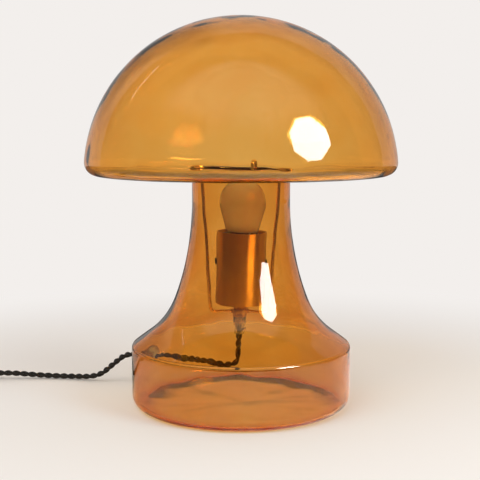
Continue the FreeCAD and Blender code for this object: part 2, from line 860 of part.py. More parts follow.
def switch_base():
    body = rounded_block(switch_length, switch_width, switch_corner, 0, switch_axis_height,
                         switch_centre())
    body = body.makeFillet(switch_edge, edges_at_height(body, 0))
    hollow = rounded_block(switch_length - 2 * switch_wall, switch_width - 2 * switch_wall,
                           switch_corner - switch_wall, switch_wall, switch_axis_height,
                           switch_centre())
    body = body.cut(hollow).cut(relief_holes())
    pillar_radius = switch_screw_head + switch_pillar_wall
    pillar_height = switch_axis_height - switch_screw_recess
    for solid in screw_pillar(pillar_radius, switch_screw_recess, pillar_height).Solids:
        body = body.fuse(solid)
    for solid in screw_pillar(switch_screw_radius + fit_gap, 0, switch_axis_height).Solids:
        body = body.cut(solid)
    head_depth = switch_screw_recess + switch_screw_head_height
    for solid in screw_pillar(switch_screw_head + fit_gap, 0, head_depth).Solids:
        body = body.cut(solid)
    return body.removeSplitter()


def switch_cover():
    bottom = switch_axis_height
    body = rounded_block(switch_length, switch_width, switch_corner, bottom, switch_cover_height,
                         switch_centre())
    body = body.makeFillet(switch_edge, edges_at_height(body, switch_top))
    hollow = rounded_block(switch_length - 2 * switch_wall, switch_width - 2 * switch_wall,
                           switch_corner - switch_wall, bottom, switch_cover_height - switch_wall,
                           switch_centre())
    body = body.cut(hollow).cut(relief_holes())
    half_length = rocker_reach + seat_gap
    half_width = rocker_width / 2 + seat_gap
    window = Part.makeBox(2 * half_length, 2 * half_width, switch_cover_height,
                          switch_centre() + Vector(-half_length, -half_width, bottom))
    frame_length = half_length + switch_wall
    frame_width = half_width + switch_wall
    frame_bottom = rocker_pivot_height - rocker_pin_radius - rocker_frame_below
    frame_top = switch_top - switch_wall / 2
    frame = Part.makeBox(2 * frame_length, 2 * frame_width, frame_top - frame_bottom,
                         switch_centre() + Vector(-frame_length, -frame_width, frame_bottom))
    body = body.fuse(frame)
    pillar_radius = switch_screw_head + switch_pillar_wall
    pillar_height = switch_cover_height - switch_wall / 2
    for solid in screw_pillar(pillar_radius, bottom, pillar_height).Solids:
        body = body.fuse(solid)
    body = body.cut(window)
    pin = rod(rocker_pin_radius + fit_gap, 2 * (half_width + rocker_pin_length + fit_gap),
              switch_centre() + Vector(0, -half_width - rocker_pin_length - fit_gap,
                                       rocker_pivot_height), Vector(0, 1, 0))
    body = body.cut(pin)
    depth = switch_screw_recess + switch_screw_length + seat_gap - switch_axis_height
    for solid in screw_pillar(switch_screw_radius + press_gap, bottom, depth).Solids:
        body = body.cut(solid)
    return body.removeSplitter()


def rocker_point(radius, angle):
    a = math.radians(angle)
    return switch_centre() + Vector(radius * math.cos(a), 0,
                                    rocker_pivot_height + radius * math.sin(a))


def switch_rocker():
    """A two-winged rocker on its pivot pins, drawn pressed at one end."""
    rise = switch_top + rocker_proud - rocker_pivot_height
    wing = math.degrees(math.asin((rise - rocker_end_drop) / rocker_reach))
    valley = switch_centre() + Vector(0, 0, rocker_pivot_height + rise - rocker_dip)
    angles = (rocker_low_angle, (rocker_low_angle + wing) / 2, wing)
    right = [rocker_point(rocker_reach, angle) for angle in angles]
    left = [rocker_point(rocker_reach, 180 - angle) for angle in reversed(angles)]
    edges = [
        Part.Arc(*right).toShape(),
        line(right[2], valley),
        line(valley, left[0]),
        Part.Arc(*left).toShape(),
        line(left[2], right[0]),
    ]
    face = Part.Face(Part.Wire(edges))
    body = face.extrude(Vector(0, rocker_width, 0))
    body.translate(Vector(0, -rocker_width / 2, 0))
    half = rocker_width / 2 + rocker_pin_length
    pin = rod(rocker_pin_radius, 2 * half,
              switch_centre() + Vector(0, -half, rocker_pivot_height), Vector(0, 1, 0))
    body = body.fuse(pin).removeSplitter()
    body.rotate(switch_centre() + at(0, rocker_pivot_height), Vector(0, 1, 0), rocker_tilt)
    return body


def switch_screws():
    screws = []
    heads = screw_pillar(switch_screw_head, switch_screw_recess, switch_screw_head_height).Solids
    shanks = screw_pillar(switch_screw_radius, switch_screw_recess, switch_screw_length).Solids
    for head, shank in zip(heads, shanks):
        screws.append(head.fuse(shank).removeSplitter())
    return Part.makeCompound(screws)


def switch_reliefs():
    """The two tapered strain reliefs, one at each end of the switch."""
    reliefs = []
    root = switch_wall + switch_relief_grip
    for start, away in ((switch_body_start, 1), (switch_body_end, -1)):
        direction = Vector(away, 0, 0)
        inside = Vector(start - away * root, switch_line, switch_axis_height)
        plug = rod(switch_relief_root, root, inside, direction)
        nose = cone_along(Vector(start, switch_line, switch_axis_height), direction,
                          switch_relief_length, switch_relief_root, switch_relief_radius)
        reliefs.append(plug.fuse(nose).removeSplitter())
    return Part.makeCompound(reliefs)


def switch_terminals():
    """Two contact blocks on the floor of the switch."""
    size = switch_terminal_size
    blocks = []
    for side in (-1, 1):
        corner = switch_centre() + Vector(side * switch_terminal_offset - size / 2, -size / 2,
                                          switch_wall)
        blocks.append(Part.makeBox(size, size, size, corner))
    return Part.makeCompound(blocks)


# ---- plug -----------------------------------------------------------------------------------------------
def plug_relief():
    start = Vector(plug_axis_x, plug_start, plug_axis_height)
    return cone_along(start, Vector(0, -1, 0), plug_relief_length, plug_relief_radius,
                      plug_relief_root)


def plug_pin_places():
    return [plug_axis_x + side * pin_spacing / 2 for side in (-1, 1)]


def plug_body():
    """A flat two-pin plug body, narrower where the cord enters."""
    back = plug_body_width / 2 - plug_body_taper
    front = plug_body_width / 2
    corners = [(-back, plug_body_start), (back, plug_body_start),
               (front, plug_body_start - plug_body_length / 2), (front, plug_face),
               (-front, plug_face), (-front, plug_body_start - plug_body_length / 2)]
    points = [Vector(plug_axis_x + x, y, 0) for x, y in corners]
    body = Part.Face(Part.makePolygon(points + points[:1])).extrude(Vector(0, 0, plug_body_height))
    level = [e for e in body.Edges
             if abs(e.Vertexes[0].Point.z - e.Vertexes[1].Point.z) < 1e-6
             and not all(abs(v.Point.y - plug_face) < 1e-6 for v in e.Vertexes)]
    body = body.makeFillet(plug_corner, level)
    for x in plug_pin_places():
        start = Vector(x, plug_face, plug_axis_height)
        body = body.cut(rod(pin_radius + press_gap, pin_root, start, Vector(0, 1, 0)))
    return body


def plug_pins():
    pins = []
    for x in plug_pin_places():
        start = Vector(x, plug_face + pin_root - press_gap, plug_axis_height)
        pins.append(rod(pin_radius, pin_root - press_gap + pin_length, start, Vector(0, -1, 0)))
    return Part.makeCompound(pins)


# ---- all pieces ------------------------------------------------------------------------------------------
pieces = {
    "glass_base": glass_base,
    "glass_shade": glass_shade,
    "hanger_hub": hanger_hub,
    "nipple": nipple,
    "hub_spacer": hub_spacer,
    "lower_nut": lower_nut,
    "upper_nut": upper_nut,
    "cord_grip": cord_grip,
    "grip_screw": grip_screw,
    "conductors": conductors,
    "holder_cup": holder_cup,
    "cup_screws": cup_screws,
    "holder_cap": holder_cap,
    "holder_insert": holder_insert,
    "terminals": terminals,
    "terminal_screws": terminal_screws,
    "holder_sleeve": holder_sleeve,
    "screw_shell": screw_shell,
    "centre_contact": centre_contact,
    "bulb_globe": bulb_globe,
    "bulb_cap": bulb_cap,
    "bulb_insulator": bulb_insulator,
    "bulb_tip": bulb_tip,
    "led_module": led_module,
    "cord_grommet": cord_grommet,
    "mains_cord": mains_cord,
    "cord_coil": cord_coil,
    "switch_base": switch_base,
    "switch_cover": switch_cover,
    "switch_rocker": switch_rocker,
    "switch_screws": switch_screws,
    "switch_reliefs": switch_reliefs,
    "switch_terminals": switch_terminals,
    "plug_relief": plug_relief,
    "plug_body": plug_body,
    "plug_pins": plug_pins,
}

for name, make in pieces.items():
    make().exportStep("parts/" + name + ".step")

for number, azimuth in enumerate(arm_azimuths, 1):
    hanger_arm(azimuth).exportStep("parts/hanger_arm_%d.step" % number)

sleeves = Part.makeCompound([foot_sleeve(azimuth) for azimuth in arm_azimuths])
sleeves.exportStep("parts/foot_sleeves.step")
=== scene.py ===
import json
import math
from math import cos, radians, sin

import bmesh
import bpy
from mathutils import Matrix, Vector

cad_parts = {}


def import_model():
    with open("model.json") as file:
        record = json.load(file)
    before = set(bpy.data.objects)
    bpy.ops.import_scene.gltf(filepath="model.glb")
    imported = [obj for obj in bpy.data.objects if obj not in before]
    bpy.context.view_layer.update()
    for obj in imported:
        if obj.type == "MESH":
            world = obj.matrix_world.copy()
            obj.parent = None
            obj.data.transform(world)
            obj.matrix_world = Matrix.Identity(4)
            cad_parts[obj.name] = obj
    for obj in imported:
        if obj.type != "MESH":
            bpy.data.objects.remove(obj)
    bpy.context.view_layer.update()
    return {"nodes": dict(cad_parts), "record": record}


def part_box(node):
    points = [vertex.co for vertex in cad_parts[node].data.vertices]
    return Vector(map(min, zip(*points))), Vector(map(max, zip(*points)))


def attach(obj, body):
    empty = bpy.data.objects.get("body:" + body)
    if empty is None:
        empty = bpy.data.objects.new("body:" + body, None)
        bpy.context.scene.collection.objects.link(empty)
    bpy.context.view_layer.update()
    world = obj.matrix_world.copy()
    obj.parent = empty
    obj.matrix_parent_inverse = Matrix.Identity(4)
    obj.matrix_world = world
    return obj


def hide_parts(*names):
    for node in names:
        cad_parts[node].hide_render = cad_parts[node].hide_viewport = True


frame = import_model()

# A mushroom table lamp in amber blown glass. The frame is in metres, +Z up, the front
# of the lamp towards -Y. Sizes below are written in millimetres times MM.

MM = 0.001

# ---- sizes of the glass ----
base_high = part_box("glass_base")[1]
shade_low, shade_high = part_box("glass_shade")
DRUM_RADIUS = base_high.x
RIM_HEIGHT = base_high.z
SHADE_UNDERSIDE = shade_low.z
SHADE_RADIUS = shade_high.z - shade_low.z
GLASS_WALL = 3.0 * MM
NECK_RADIUS = 47.0 * MM
NECK_STRAIGHT = 30.0 * MM
HEEL_RADIUS = 12.0 * MM
SHOULDER_SLOPE = 36.0  # degrees below level
SHOULDER_RADIUS = 5.0 * MM
FLARE_UPPER_RADIUS = 270.0 * MM
FLARE_LOWER_RADIUS = 75.0 * MM
FLARE_BREAK = 69.7  # slope where the two flare arcs meet
SHADE_CORNER_RADIUS = 12.0 * MM
SHADE_OPENING_RADIUS = 50.6 * MM
OUTLET_AZIMUTH = -118.0  # of the cord's hole, from the front towards +X
OUTLET_HEIGHT = 37.0 * MM
OUTLET_RADIUS = 6.1 * MM
OUTLET_SIDES = 48
GLASS_TURN_STEPS = 256
BASE_UNEVENNESS = 0.6 * MM  # of the blown skin
SHADE_UNEVENNESS = 0.5 * MM
WAVE_REACH = 32.0 * MM  # from one swell of the skin to the next
RIM_STEP = 15  # degrees from point to point over the rim
RIM_GATHER = 0.3 * MM  # how much fuller the rim is inside
RIM_GATHER_DEPTH = 20.0 * MM
HEEL_GATHER = 1.1 * MM  # how much fuller the heel is inside
HEEL_GATHER_OUT = 3.0 * MM  # where that gather lies, past the heel's foot
HEEL_GATHER_REACH = 5.0 * MM
HEEL_FOOT = DRUM_RADIUS - HEEL_RADIUS
FLOOR_THINNING = 1.6 * MM  # how much thinner the floor is than the wall
LIP_GATHER = 1.8 * MM  # how much fuller the shade's underside is round its opening
LIP_GATHER_START = 58.0 * MM  # from the opening's edge
LIP_GATHER_END = 82.0 * MM
LIP_ROUNDING = 0.25 * MM  # of the opening's two edges

# ---- sizes of the cord ----
CORD_DIAMETER = 6.0 * MM
STRAND_RADIUS = 1.6 * MM  # two braided strands, laid round each other
STRAND_OFFSET = 1.4 * MM
STRAND_LAY = 17.0 * MM  # length of one full turn of the pair
STRAND_SIDES = 12
STRAND_STEP = 1.25 * MM
BRAID_ENDS = 12  # thread crossings round one strand
BRAID_STEP = 0.85 * MM  # drawn as coarse as it needs to show

COIL_CENTRE = Vector((-378.0, 44.0, 0.0)) * MM
COIL_RADIUS = 44.0 * MM
COIL_PITCH = 6.8 * MM
COIL_HALF_TURNS = 6
COIL_POINTS = 8  # for each half turn


# ---- small helpers ----
def colour(code):
    """An sRGB hex colour as linear red, green, blue and alpha."""
    channels = [int(code[i:i + 2], 16) / 255 for i in (1, 3, 5)]
    return [c / 12.92 if c <= 0.04045 else ((c + 0.055) / 1.055) ** 2.4 for c in channels] + [1.0]


MATH, MIX, RANGE = "ShaderNodeMath", "ShaderNodeMix", "ShaderNodeMapRange"


def add(tree, kind, inputs=None, **settings):
    """Adds a node. An input takes a plain value, another node's output to link, or the node
    itself for its first output. A Mix node's inputs go by number: 0 is the share, 2 and 3
    are numbers, 6 and 7 colours."""
    node = tree.nodes.new(kind)
    for key, value in settings.items():
        setattr(node, key, value)
    for key, value in (inputs or {}).items():
        if isinstance(value, bpy.types.Node):
            value = value.outputs[0]
        if isinstance(value, bpy.types.NodeSocket):
            tree.links.new(value, node.inputs[key])
        else:
            node.inputs[key].default_value = value
    return node


def new_material(name):
    made = bpy.data.materials.new(name)
    made.use_nodes = True
    made.node_tree.nodes.clear()
    return made, made.node_tree


def speckle(tree, size, detail, stretch=(1, 1, 1)):
    """Noise on the piece's own coordinates, with features about size metres across."""
    place = add(tree, "ShaderNodeTexCoord")
    laid = add(tree, "ShaderNodeMapping", {"Vector": place.outputs["Object"], "Scale": stretch})
    return add(tree, "ShaderNodeTexNoise", {"Vector": laid, "Scale": 1 / size, "Detail": detail})


# ---- finishes ----
NOISE_LOW, NOISE_HIGH = 0.3, 0.7  # most of a noise lies between these
SHADE_COLOUR_DEPTH = 440.0  # per metre, of the amber in the body of the glass
BASE_COLOUR_DEPTH = 565.0
SOFT_LIGHT_SHARE = 0.3  # of that depth, for light that falls on matt things


def patterned(name, tones, patch, roughness, grain=None, relief=None, brushed=False,
              share=None, **shader):
    """A material of two tones in patches. patch and grain are a noise: its size in metres,
    detail and stretch. roughness is one value, or two that follow the patches, or the grain
    where the piece is brushed. relief is a depth in metres and a strength, raised by the
    grain or else by the patches. share, where given, sets the tones apart in place of the
    patches. The rest goes to the shader, with underscores for spaces."""
    made, tree = new_material(name)
    patches = speckle(tree, *patch)
    marks = speckle(tree, *grain) if grain else patches
    tone = add(tree, MIX, {
        0: share(tree) if share else patches, 6: colour(tones[0]), 7: colour(tones[1])},
        data_type="RGBA")
    given = {key.replace("_", " "): value for key, value in shader.items()}
    given.update({"Base Color": tone.outputs[2], "Roughness": roughness})
    if isinstance(roughness, tuple):
        spread = add(tree, RANGE, {
            "Value": marks if brushed else patches, "From Min": NOISE_LOW, "From Max": NOISE_HIGH,
            "To Min": roughness[0], "To Max": roughness[1]})
        given["Roughness"] = spread
    if relief:
        raised = add(tree, "ShaderNodeBump", {
            "Height": marks, "Distance": relief[0], "Strength": relief[1]})
        given["Normal"] = raised
    skin = add(tree, "ShaderNodeBsdfPrincipled", given)
    add(tree, "ShaderNodeOutputMaterial", {"Surface": skin})
    return made


def blown_amber_glass(name, body_colour, depth_of_colour):
    """Soda-lime glass, blown and coloured in the mass: clear, smooth and faintly wavy.
    Thick places look darker and redder, because the colour is in the body of the glass.
    Light for the matt things behind it passes straight through its walls, and takes on
    less of the colour."""
    made, tree = new_material(name)
    wave = add(tree, "ShaderNodeBump", {
        "Height": speckle(tree, 38 * MM, 1.0), "Distance": 0.35 * MM, "Strength": 0.35})
    glass = add(tree, "ShaderNodeBsdfPrincipled", {
        "Base Color": colour("#FFFFFF"), "Roughness": 0.0, "IOR": 1.5, "Transmission Weight": 1.0,
        "Normal": wave})
    path = add(tree, "ShaderNodeLightPath")
    plain = add(tree, MATH, {
        0: path.outputs["Is Shadow Ray"], 1: path.outputs["Is Diffuse Ray"]}, operation="MAXIMUM")
    open_way = add(tree, "ShaderNodeBsdfTransparent", {"Color": colour("#FAFAFA")})
    shown = add(tree, "ShaderNodeMixShader", {0: plain, 1: glass, 2: open_way})
    depth = add(tree, RANGE, {
        "Value": plain, "To Min": depth_of_colour, "To Max": depth_of_colour * SOFT_LIGHT_SHARE})
    body = add(tree, "ShaderNodeVolumeAbsorption", {
        "Color": colour(body_colour), "Density": depth})
    add(tree, "ShaderNodeOutputMaterial", {"Surface": shown, "Volume": body})
    return made


def right_side(tree):
    """1 on the right of the lamp's axis and 0 on the left."""
    place = add(tree, "ShaderNodeTexCoord")
    axes = add(tree, "ShaderNodeSeparateXYZ", {"Vector": place.outputs["Object"]})
    return add(tree, MATH, {0: axes.outputs["X"], 1: 0.0}, operation="GREATER_THAN")


def braided_black_textile():
    """Polyester yarn braided over each strand: crossing diagonal threads with a dull sheen.
    The pattern runs on the strand's own coordinates, along and round. The valleys between
    the threads are painted darker, as shade."""
    made, tree = new_material("braided_black_textile")
    own = add(tree, "ShaderNodeUVMap")
    axes = add(tree, "ShaderNodeSeparateXYZ", {"Vector": own.outputs["UV"]})
    threads = []
    for way in ("ADD", "SUBTRACT"):
        phase = add(tree, MATH, {0: axes.outputs["X"], 1: axes.outputs["Y"]}, operation=way)
        turn = add(tree, MATH, {0: phase, 1: math.tau}, operation="MULTIPLY")
        threads.append(add(tree, MATH, {0: turn}, operation="SINE"))
    crown = add(tree, MATH, {0: threads[0], 1: threads[1]}, operation="MAXIMUM")
    height = add(tree, RANGE, {"Value": crown, "From Min": -1.0})
    worn = add(tree, MIX, {
        0: speckle(tree, 0.3 * MM, 3.0), 6: colour("#0F0D0B"), 7: colour("#1E1A16")},
        data_type="RGBA")
    # Painted shade: the valleys between the threads take a darker colour, and the crowns keep the
    # yarn's own patchy tone.
    tone = add(tree, MIX, {0: height, 6: colour("#070605"), 7: worn.outputs[2]}, data_type="RGBA")
    raised = add(tree, "ShaderNodeBump", {
        "Height": height, "Distance": 0.25 * MM, "Strength": 0.8})
    yarn = add(tree, "ShaderNodeBsdfPrincipled", {
        "Base Color": tone.outputs[2], "Roughness": 0.78, "Sheen Weight": 0.15,
        "Sheen Roughness": 0.45, "Normal": raised})
    add(tree, "ShaderNodeOutputMaterial", {"Surface": yarn})
    return made


# Brass wire, drawn bright and lacquered, with faint marks of the die along it.
WIRE = patterned("drawn_brass_wire", ("#F0CC84", "#F6D894"), (5 * MM, 4.0), (0.17, 0.22),
                 Metallic=1.0)
BASE_GLASS = blown_amber_glass("blown_amber_glass_base", "#F4D22B", BASE_COLOUR_DEPTH)
FINISHES = {
    "amber_glass": blown_amber_glass("blown_amber_glass_shade", "#F7D62B", SHADE_COLOUR_DEPTH),
    # Spun brass, brushed round its axis and lacquered. Brushing spreads a highlight along
    # the axis and keeps it narrow across.
    "satin_brass": patterned(
        "satin_lacquered_brass", ("#C8A455", "#D8B86C"), (14 * MM, 4.0), (0.3, 0.35),
        grain=(0.5 * MM, 2.0, (0.05, 0.05, 1)), relief=(0.02 * MM, 0.3), brushed=True,
        Metallic=1.0, Anisotropic=1.0, Anisotropic_Rotation=0.25, Coat_Weight=0.05,
        Coat_Roughness=0.12),
    # Pressed brass strip, bare, slightly dulled by handling.
    "contact_brass": patterned(
        "bare_contact_brass", ("#B9913F", "#D8B56A"), (3 * MM, 4.0), (0.2, 0.42), Metallic=1.0),
    # Moulded silicone: clear but a little cloudy, with a soft skin.
    "clear_silicone": patterned(
        "clear_silicone", ("#E4E2DC", "#F5F3EE"), (2 * MM, 3.0), 0.28, relief=(0.05 * MM, 0.4),
        IOR=1.41, Transmission_Weight=0.85),
    # Injection-moulded clear plastic with faint flow lines and a polished skin.
    "clear_plastic": patterned(
        "clear_polycarbonate", ("#F0EADD", "#FBF8F2"), (3 * MM, 2.0, (1, 1, 0.3)), 0.08,
        relief=(0.08 * MM, 0.5), IOR=1.58, Transmission_Weight=0.9),
    # PVC insulation, one conductor brown and one blue, with an extruded satin skin.
    "wire_insulation": patterned(
        "extruded_pvc", ("#5A3A22", "#2E5C96"), (1.5 * MM, 2.0), (0.35, 0.5), share=right_side),
    # Steel screws, chemically blackened and oiled, rubbed brighter in places.
    "dark_steel": patterned(
        "blackened_steel", ("#1B1917", "#3A3632"), (1.2 * MM, 4.0), (0.32, 0.5), Metallic=0.9),
    # Compression-moulded phenolic: near black with a brown cast and fine flow speckle.
    "black_phenolic": patterned(
        "moulded_phenolic", ("#1A1512", "#2B231D"), (0.7 * MM, 5.0), (0.3, 0.48),
        relief=(0.03 * MM, 0.4)),
    # Unglazed steatite ceramic, pressed and fired: off-white, dry and faintly pitted.
    "white_ceramic": patterned(
        "fired_steatite", ("#DAD5CA", "#EFEBE2"), (0.6 * MM, 6.0), 0.72, relief=(0.06 * MM, 0.5)),
    # Opal glass, milky in the mass, with a thin glossy skin.
    "opal_glass": patterned(
        "opal_glass", ("#BFA68F", "#CDB6A0"), (20 * MM, 2.0), 0.16, IOR=1.5,
        Subsurface_Weight=0.4, Subsurface_Scale=6 * MM, Coat_Weight=0.3, Coat_Roughness=0.05),
    # Nickel-plated pressed metal, bright with a slight warm haze.
    "nickel_cap": patterned(
        "nickel_plate", ("#B9B5AD", "#D6D3CC"), (4 * MM, 4.0), (0.16, 0.3), Metallic=1.0),
    # The black glass of a bulb cap's insulator: glossy, with rare bubbles.
    "black_insulator": patterned(
        "black_vitrite", ("#0C0D12", "#1D2028"), (1.0 * MM, 2.0), 0.12, relief=(0.05 * MM, 0.3)),
    # The light source's white moulded carrier, matt with a fine grain.
    "led_white": patterned(
        "moulded_white_plastic", ("#DEDBD3", "#ECEAE4"), (0.8 * MM, 3.0), 0.5,
        relief=(0.02 * MM, 0.4)),
    # Moulded black rubber: matt, with a dusty bloom in patches.
    "black_rubber": patterned(
        "soft_black_rubber", ("#121212", "#1F1E1D"), (6 * MM, 5.0), (0.6, 0.78),
        grain=(0.35 * MM, 2.0), relief=(0.04 * MM, 0.5)),
    "black_textile": braided_black_textile(),
    # Black ABS from a spark-eroded tool: an even grain over a satin skin. The real grain is
    # finer; this is as coarse as it needs to show.
    "black_plastic": patterned(
        "moulded_black_plastic", ("#151516", "#222224"), (11 * MM, 4.0), (0.4, 0.52),
        grain=(0.45 * MM, 2.0), relief=(0.05 * MM, 0.55)),
    # Turned brass pins, nickel plated, with fine turning marks across them.
    "plug_pin_metal": patterned(
        "plated_pin_brass", ("#C8C1B1", "#D1CABA"), (0.4 * MM, 2.0, (0.05, 1, 0.05)),
        (0.22, 0.28), Metallic=1.0),
}
SLOT_OF = {part["node"]: part["material_slot"] for part in frame["record"]["subparts"]}
BODY_OF = {node: body for body, nodes in frame["record"]["behaviour"]["bodies"].items()
           for node in nodes}


# ---- placing and finishing a piece ----
WELD = 1e-6  # metres, between corners that count as one
FLAT = 0.6  # degrees between facets that count as one face
SHARP_EDGE = 40  # degrees, from which an edge is broken or drawn sharp
SMOOTH_BELOW = 32.0  # degrees, of the edges that a finished solid rounds over
EDGE_STEPS = 2  # facets across a broken edge


def piece(name, mesh, *nodes, finish=None):
    """A finished mesh that stands for these CAD nodes and rides where they ride."""
    made = working_object(name, mesh)
    mesh.materials.clear()
    mesh.materials.append(finish or FINISHES[SLOT_OF[nodes[0]]])
    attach(made, BODY_OF[nodes[0]])
    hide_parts(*nodes)
    return made


def plain_mesh(source):
    """The evaluated object as one plain mesh; the object itself goes."""
    bpy.context.view_layer.update()
    seen = source.evaluated_get(bpy.context.evaluated_depsgraph_get())
    mesh = bpy.data.meshes.new_from_object(seen)
    bpy.data.objects.remove(source)
    return mesh


def working_object(name, mesh):
    made = bpy.data.objects.new(name, mesh)
    bpy.context.scene.collection.objects.link(made)
    return made


def as_mesh(form, name):
    """The form as a new mesh; the form itself goes."""
    mesh = bpy.data.meshes.new(name)
    form.to_mesh(mesh)
    form.free()
    return mesh


def welded(mesh, flatten=False, turn_out=False):
    """Merges doubles. It can join the facets of each flat face, or turn a closed shell's
    faces outwards."""
    form = bmesh.new()
    form.from_mesh(mesh)
    bmesh.ops.remove_doubles(form, verts=form.verts, dist=WELD)
    if flatten:
        bmesh.ops.dissolve_limit(form, angle_limit=radians(FLAT), verts=form.verts,
                                 edges=form.edges)
    if turn_out:
        bmesh.ops.recalc_face_normals(form, faces=form.faces)
        if form.calc_volume(signed=True) < 0:
            bmesh.ops.reverse_faces(form, faces=form.faces)
    form.to_mesh(mesh)
    form.free()
    return mesh


def shade_by_angle(mesh, angle):
    mesh.shade_smooth()
    mesh.set_sharp_from_angle(angle=radians(angle))
    return mesh


def finished_node(node, edge=0.0, finish=None):
    """A CAD node with its facets joined, its edges broken by edge metres and smooth shading."""
    mesh = welded(frame["nodes"][node].data.copy(), flatten=edge > 0)
    if "custom_normal" in mesh.attributes:
        mesh.attributes.remove(mesh.attributes["custom_normal"])
    if edge:
        work = working_object("edge_work", mesh)
        broken = work.modifiers.new("broken_edges", "BEVEL")
        broken.width = edge
        broken.segments = EDGE_STEPS
        broken.limit_method = "ANGLE"
        broken.angle_limit = radians(SHARP_EDGE)
        mesh = plain_mesh(work)
    shade_by_angle(mesh, SMOOTH_BELOW)
    return piece(node + "_finished", mesh, node, finish=finish)


# ---- turned forms ----
RAIL = 1.0 * MM  # radius of the ring that a profile is swept round, taken off the profile
SEAM = 0.004 * MM  # between corners of the swept skin that count as one


def group(name, inputs):
    """An empty Geometry Nodes tree with named inputs; returns it and its input node."""
    tree = bpy.data.node_groups.new(name, "GeometryNodeTree")
    for label, kind in inputs:
        tree.interface.new_socket(name=label, in_out="INPUT", socket_type="NodeSocket" + kind)
    tree.interface.new_socket(name="Form", in_out="OUTPUT", socket_type="NodeSocketGeometry")
    return tree, add(tree, "NodeGroupInput").outputs


def close_group(tree, geometry, finish):
    real = add(tree, "GeometryNodeRealizeInstances", {"Geometry": geometry})
    done = add(tree, "GeometryNodeSetMaterial", {"Geometry": real, "Material": finish})
    add(tree, "NodeGroupOutput", {"Form": done})


def use_group(work, tree, **values):
    """Puts the tree on an object, with its inputs set by their identifiers."""
    modifier = work.modifiers.new(tree.name, "NODES")
    modifier.node_group = tree
    for item in tree.interface.items_tree:
        if item.in_out == "INPUT" and item.name in values:
            modifier[item.identifier] = values[item.name]


def turning_group():
    """Turns a profile about the axis, and gives the skin the slight unevenness of blowing."""
    tree, given = group("turned_about_axis", [
        ("Profile", "Geometry"), ("Steps", "Int"), ("Unevenness", "Float"), ("Reach", "Float"),
        ("Finish", "Material")])
    line = add(tree, "GeometryNodeMeshToCurve", {"Mesh": given["Profile"]})
    ring = add(tree, "GeometryNodeCurvePrimitiveCircle", {
        "Resolution": given["Steps"], "Radius": RAIL})
    skin = add(tree, "GeometryNodeCurveToMesh", {"Curve": ring, "Profile Curve": line})
    whole = add(tree, "GeometryNodeMergeByDistance", {"Geometry": skin, "Distance": SEAM})
    scale = add(tree, MATH, {0: 1.0, 1: given["Reach"]}, operation="DIVIDE")
    waves = add(tree, "ShaderNodeTexNoise", {"Scale": scale, "Detail": 1.0})
    swing = add(tree, MATH, {0: waves, 1: 0.5}, operation="SUBTRACT")
    push = add(tree, MATH, {0: swing, 1: given["Unevenness"]}, operation="MULTIPLY")
    facing = add(tree, "GeometryNodeInputNormal")
    shift = add(tree, "ShaderNodeVectorMath", {0: facing, "Scale": push}, operation="SCALE")
    uneven = add(tree, "GeometryNodeSetPosition", {"Geometry": whole, "Offset": shift})
    close_group(tree, uneven, given["Finish"])
    return tree


TURNING = turning_group()


def turned(name, outline, steps, unevenness, finish):
    """A closed mesh turned from an outline of radii and heights, from the axis to the axis."""
    mesh = bpy.data.meshes.new(name)
    points = [(r - RAIL, -z, 0.0) for r, z in outline]
    mesh.from_pydata(points, [(i, i + 1) for i in range(len(points) - 1)], [])
    work = working_object(name, mesh)
    use_group(work, TURNING, Steps=steps, Unevenness=unevenness, Reach=WAVE_REACH,
              Finish=finish)
    skin = welded(plain_mesh(work), turn_out=True)
    skin.shade_smooth()
    return skin


def polar(centre, radius, angle):
    """The point at an angle in degrees on a circle."""
    a = radians(angle)
    return (centre[0] + radius * cos(a), centre[1] + radius * sin(a))


def arc(centre, radius, start, end, step=1.6 * MM, finest=7.0):
    """Points along an arc, angles in degrees; close enough for its radius."""
    turn = abs(end - start)
    count = max(2, math.ceil(turn / finest), math.ceil(radians(turn) * radius / step))
    return [polar(centre, radius, start + (end - start) * k / count) for k in range(count + 1)]


def run(start, end, step=6 * MM):
    """Points along a straight stretch."""
    count = max(1, math.ceil(math.dist(start, end) / step))
    return [tuple(a + (b - a) * k / count for a, b in zip(start, end)) for k in range(count + 1)]


def joined(*stretches):
    """The stretches end to end, without the points that they share."""
    whole = []
    for stretch in stretches:
        for point in stretch:
            if not whole or math.dist(point, whole[-1]) > WELD:
                whole.append(point)
    return whole


def base_profile(inset):
    """The base from the axis to the rim: heel, drum, shoulder, two flare arcs, neck."""
    upper = (NECK_RADIUS + FLARE_UPPER_RADIUS, RIM_HEIGHT - NECK_STRAIGHT)
    bend = polar(upper, FLARE_UPPER_RADIUS - FLARE_LOWER_RADIUS, 270 - FLARE_BREAK)
    corner_r = DRUM_RADIUS - SHOULDER_RADIUS
    on_slope = polar(bend, FLARE_LOWER_RADIUS + SHOULDER_RADIUS, 270 - SHOULDER_SLOPE)
    drop = (corner_r - on_slope[0]) * math.tan(radians(SHOULDER_SLOPE))
    corner = (corner_r, on_slope[1] - drop)
    heel = (HEEL_FOOT, HEEL_RADIUS)
    lower = arc(bend, FLARE_LOWER_RADIUS + inset, 270 - SHOULDER_SLOPE, 270 - FLARE_BREAK)
    round_heel = arc(heel, HEEL_RADIUS - inset, -90, 0)
    shoulder = arc(corner, SHOULDER_RADIUS - inset, 0, 90 - SHOULDER_SLOPE)
    flare = arc(upper, FLARE_UPPER_RADIUS + inset, 270 - FLARE_BREAK, 180, 2.5 * MM)
    top = (NECK_RADIUS - inset, RIM_HEIGHT - GLASS_WALL / 2)
    return joined(run((0, inset), round_heel[0], 12 * MM), round_heel,
                  run(round_heel[-1], shoulder[0], 4 * MM), shoulder,
                  run(shoulder[-1], lower[0]), lower, flare, run(flare[-1], top))


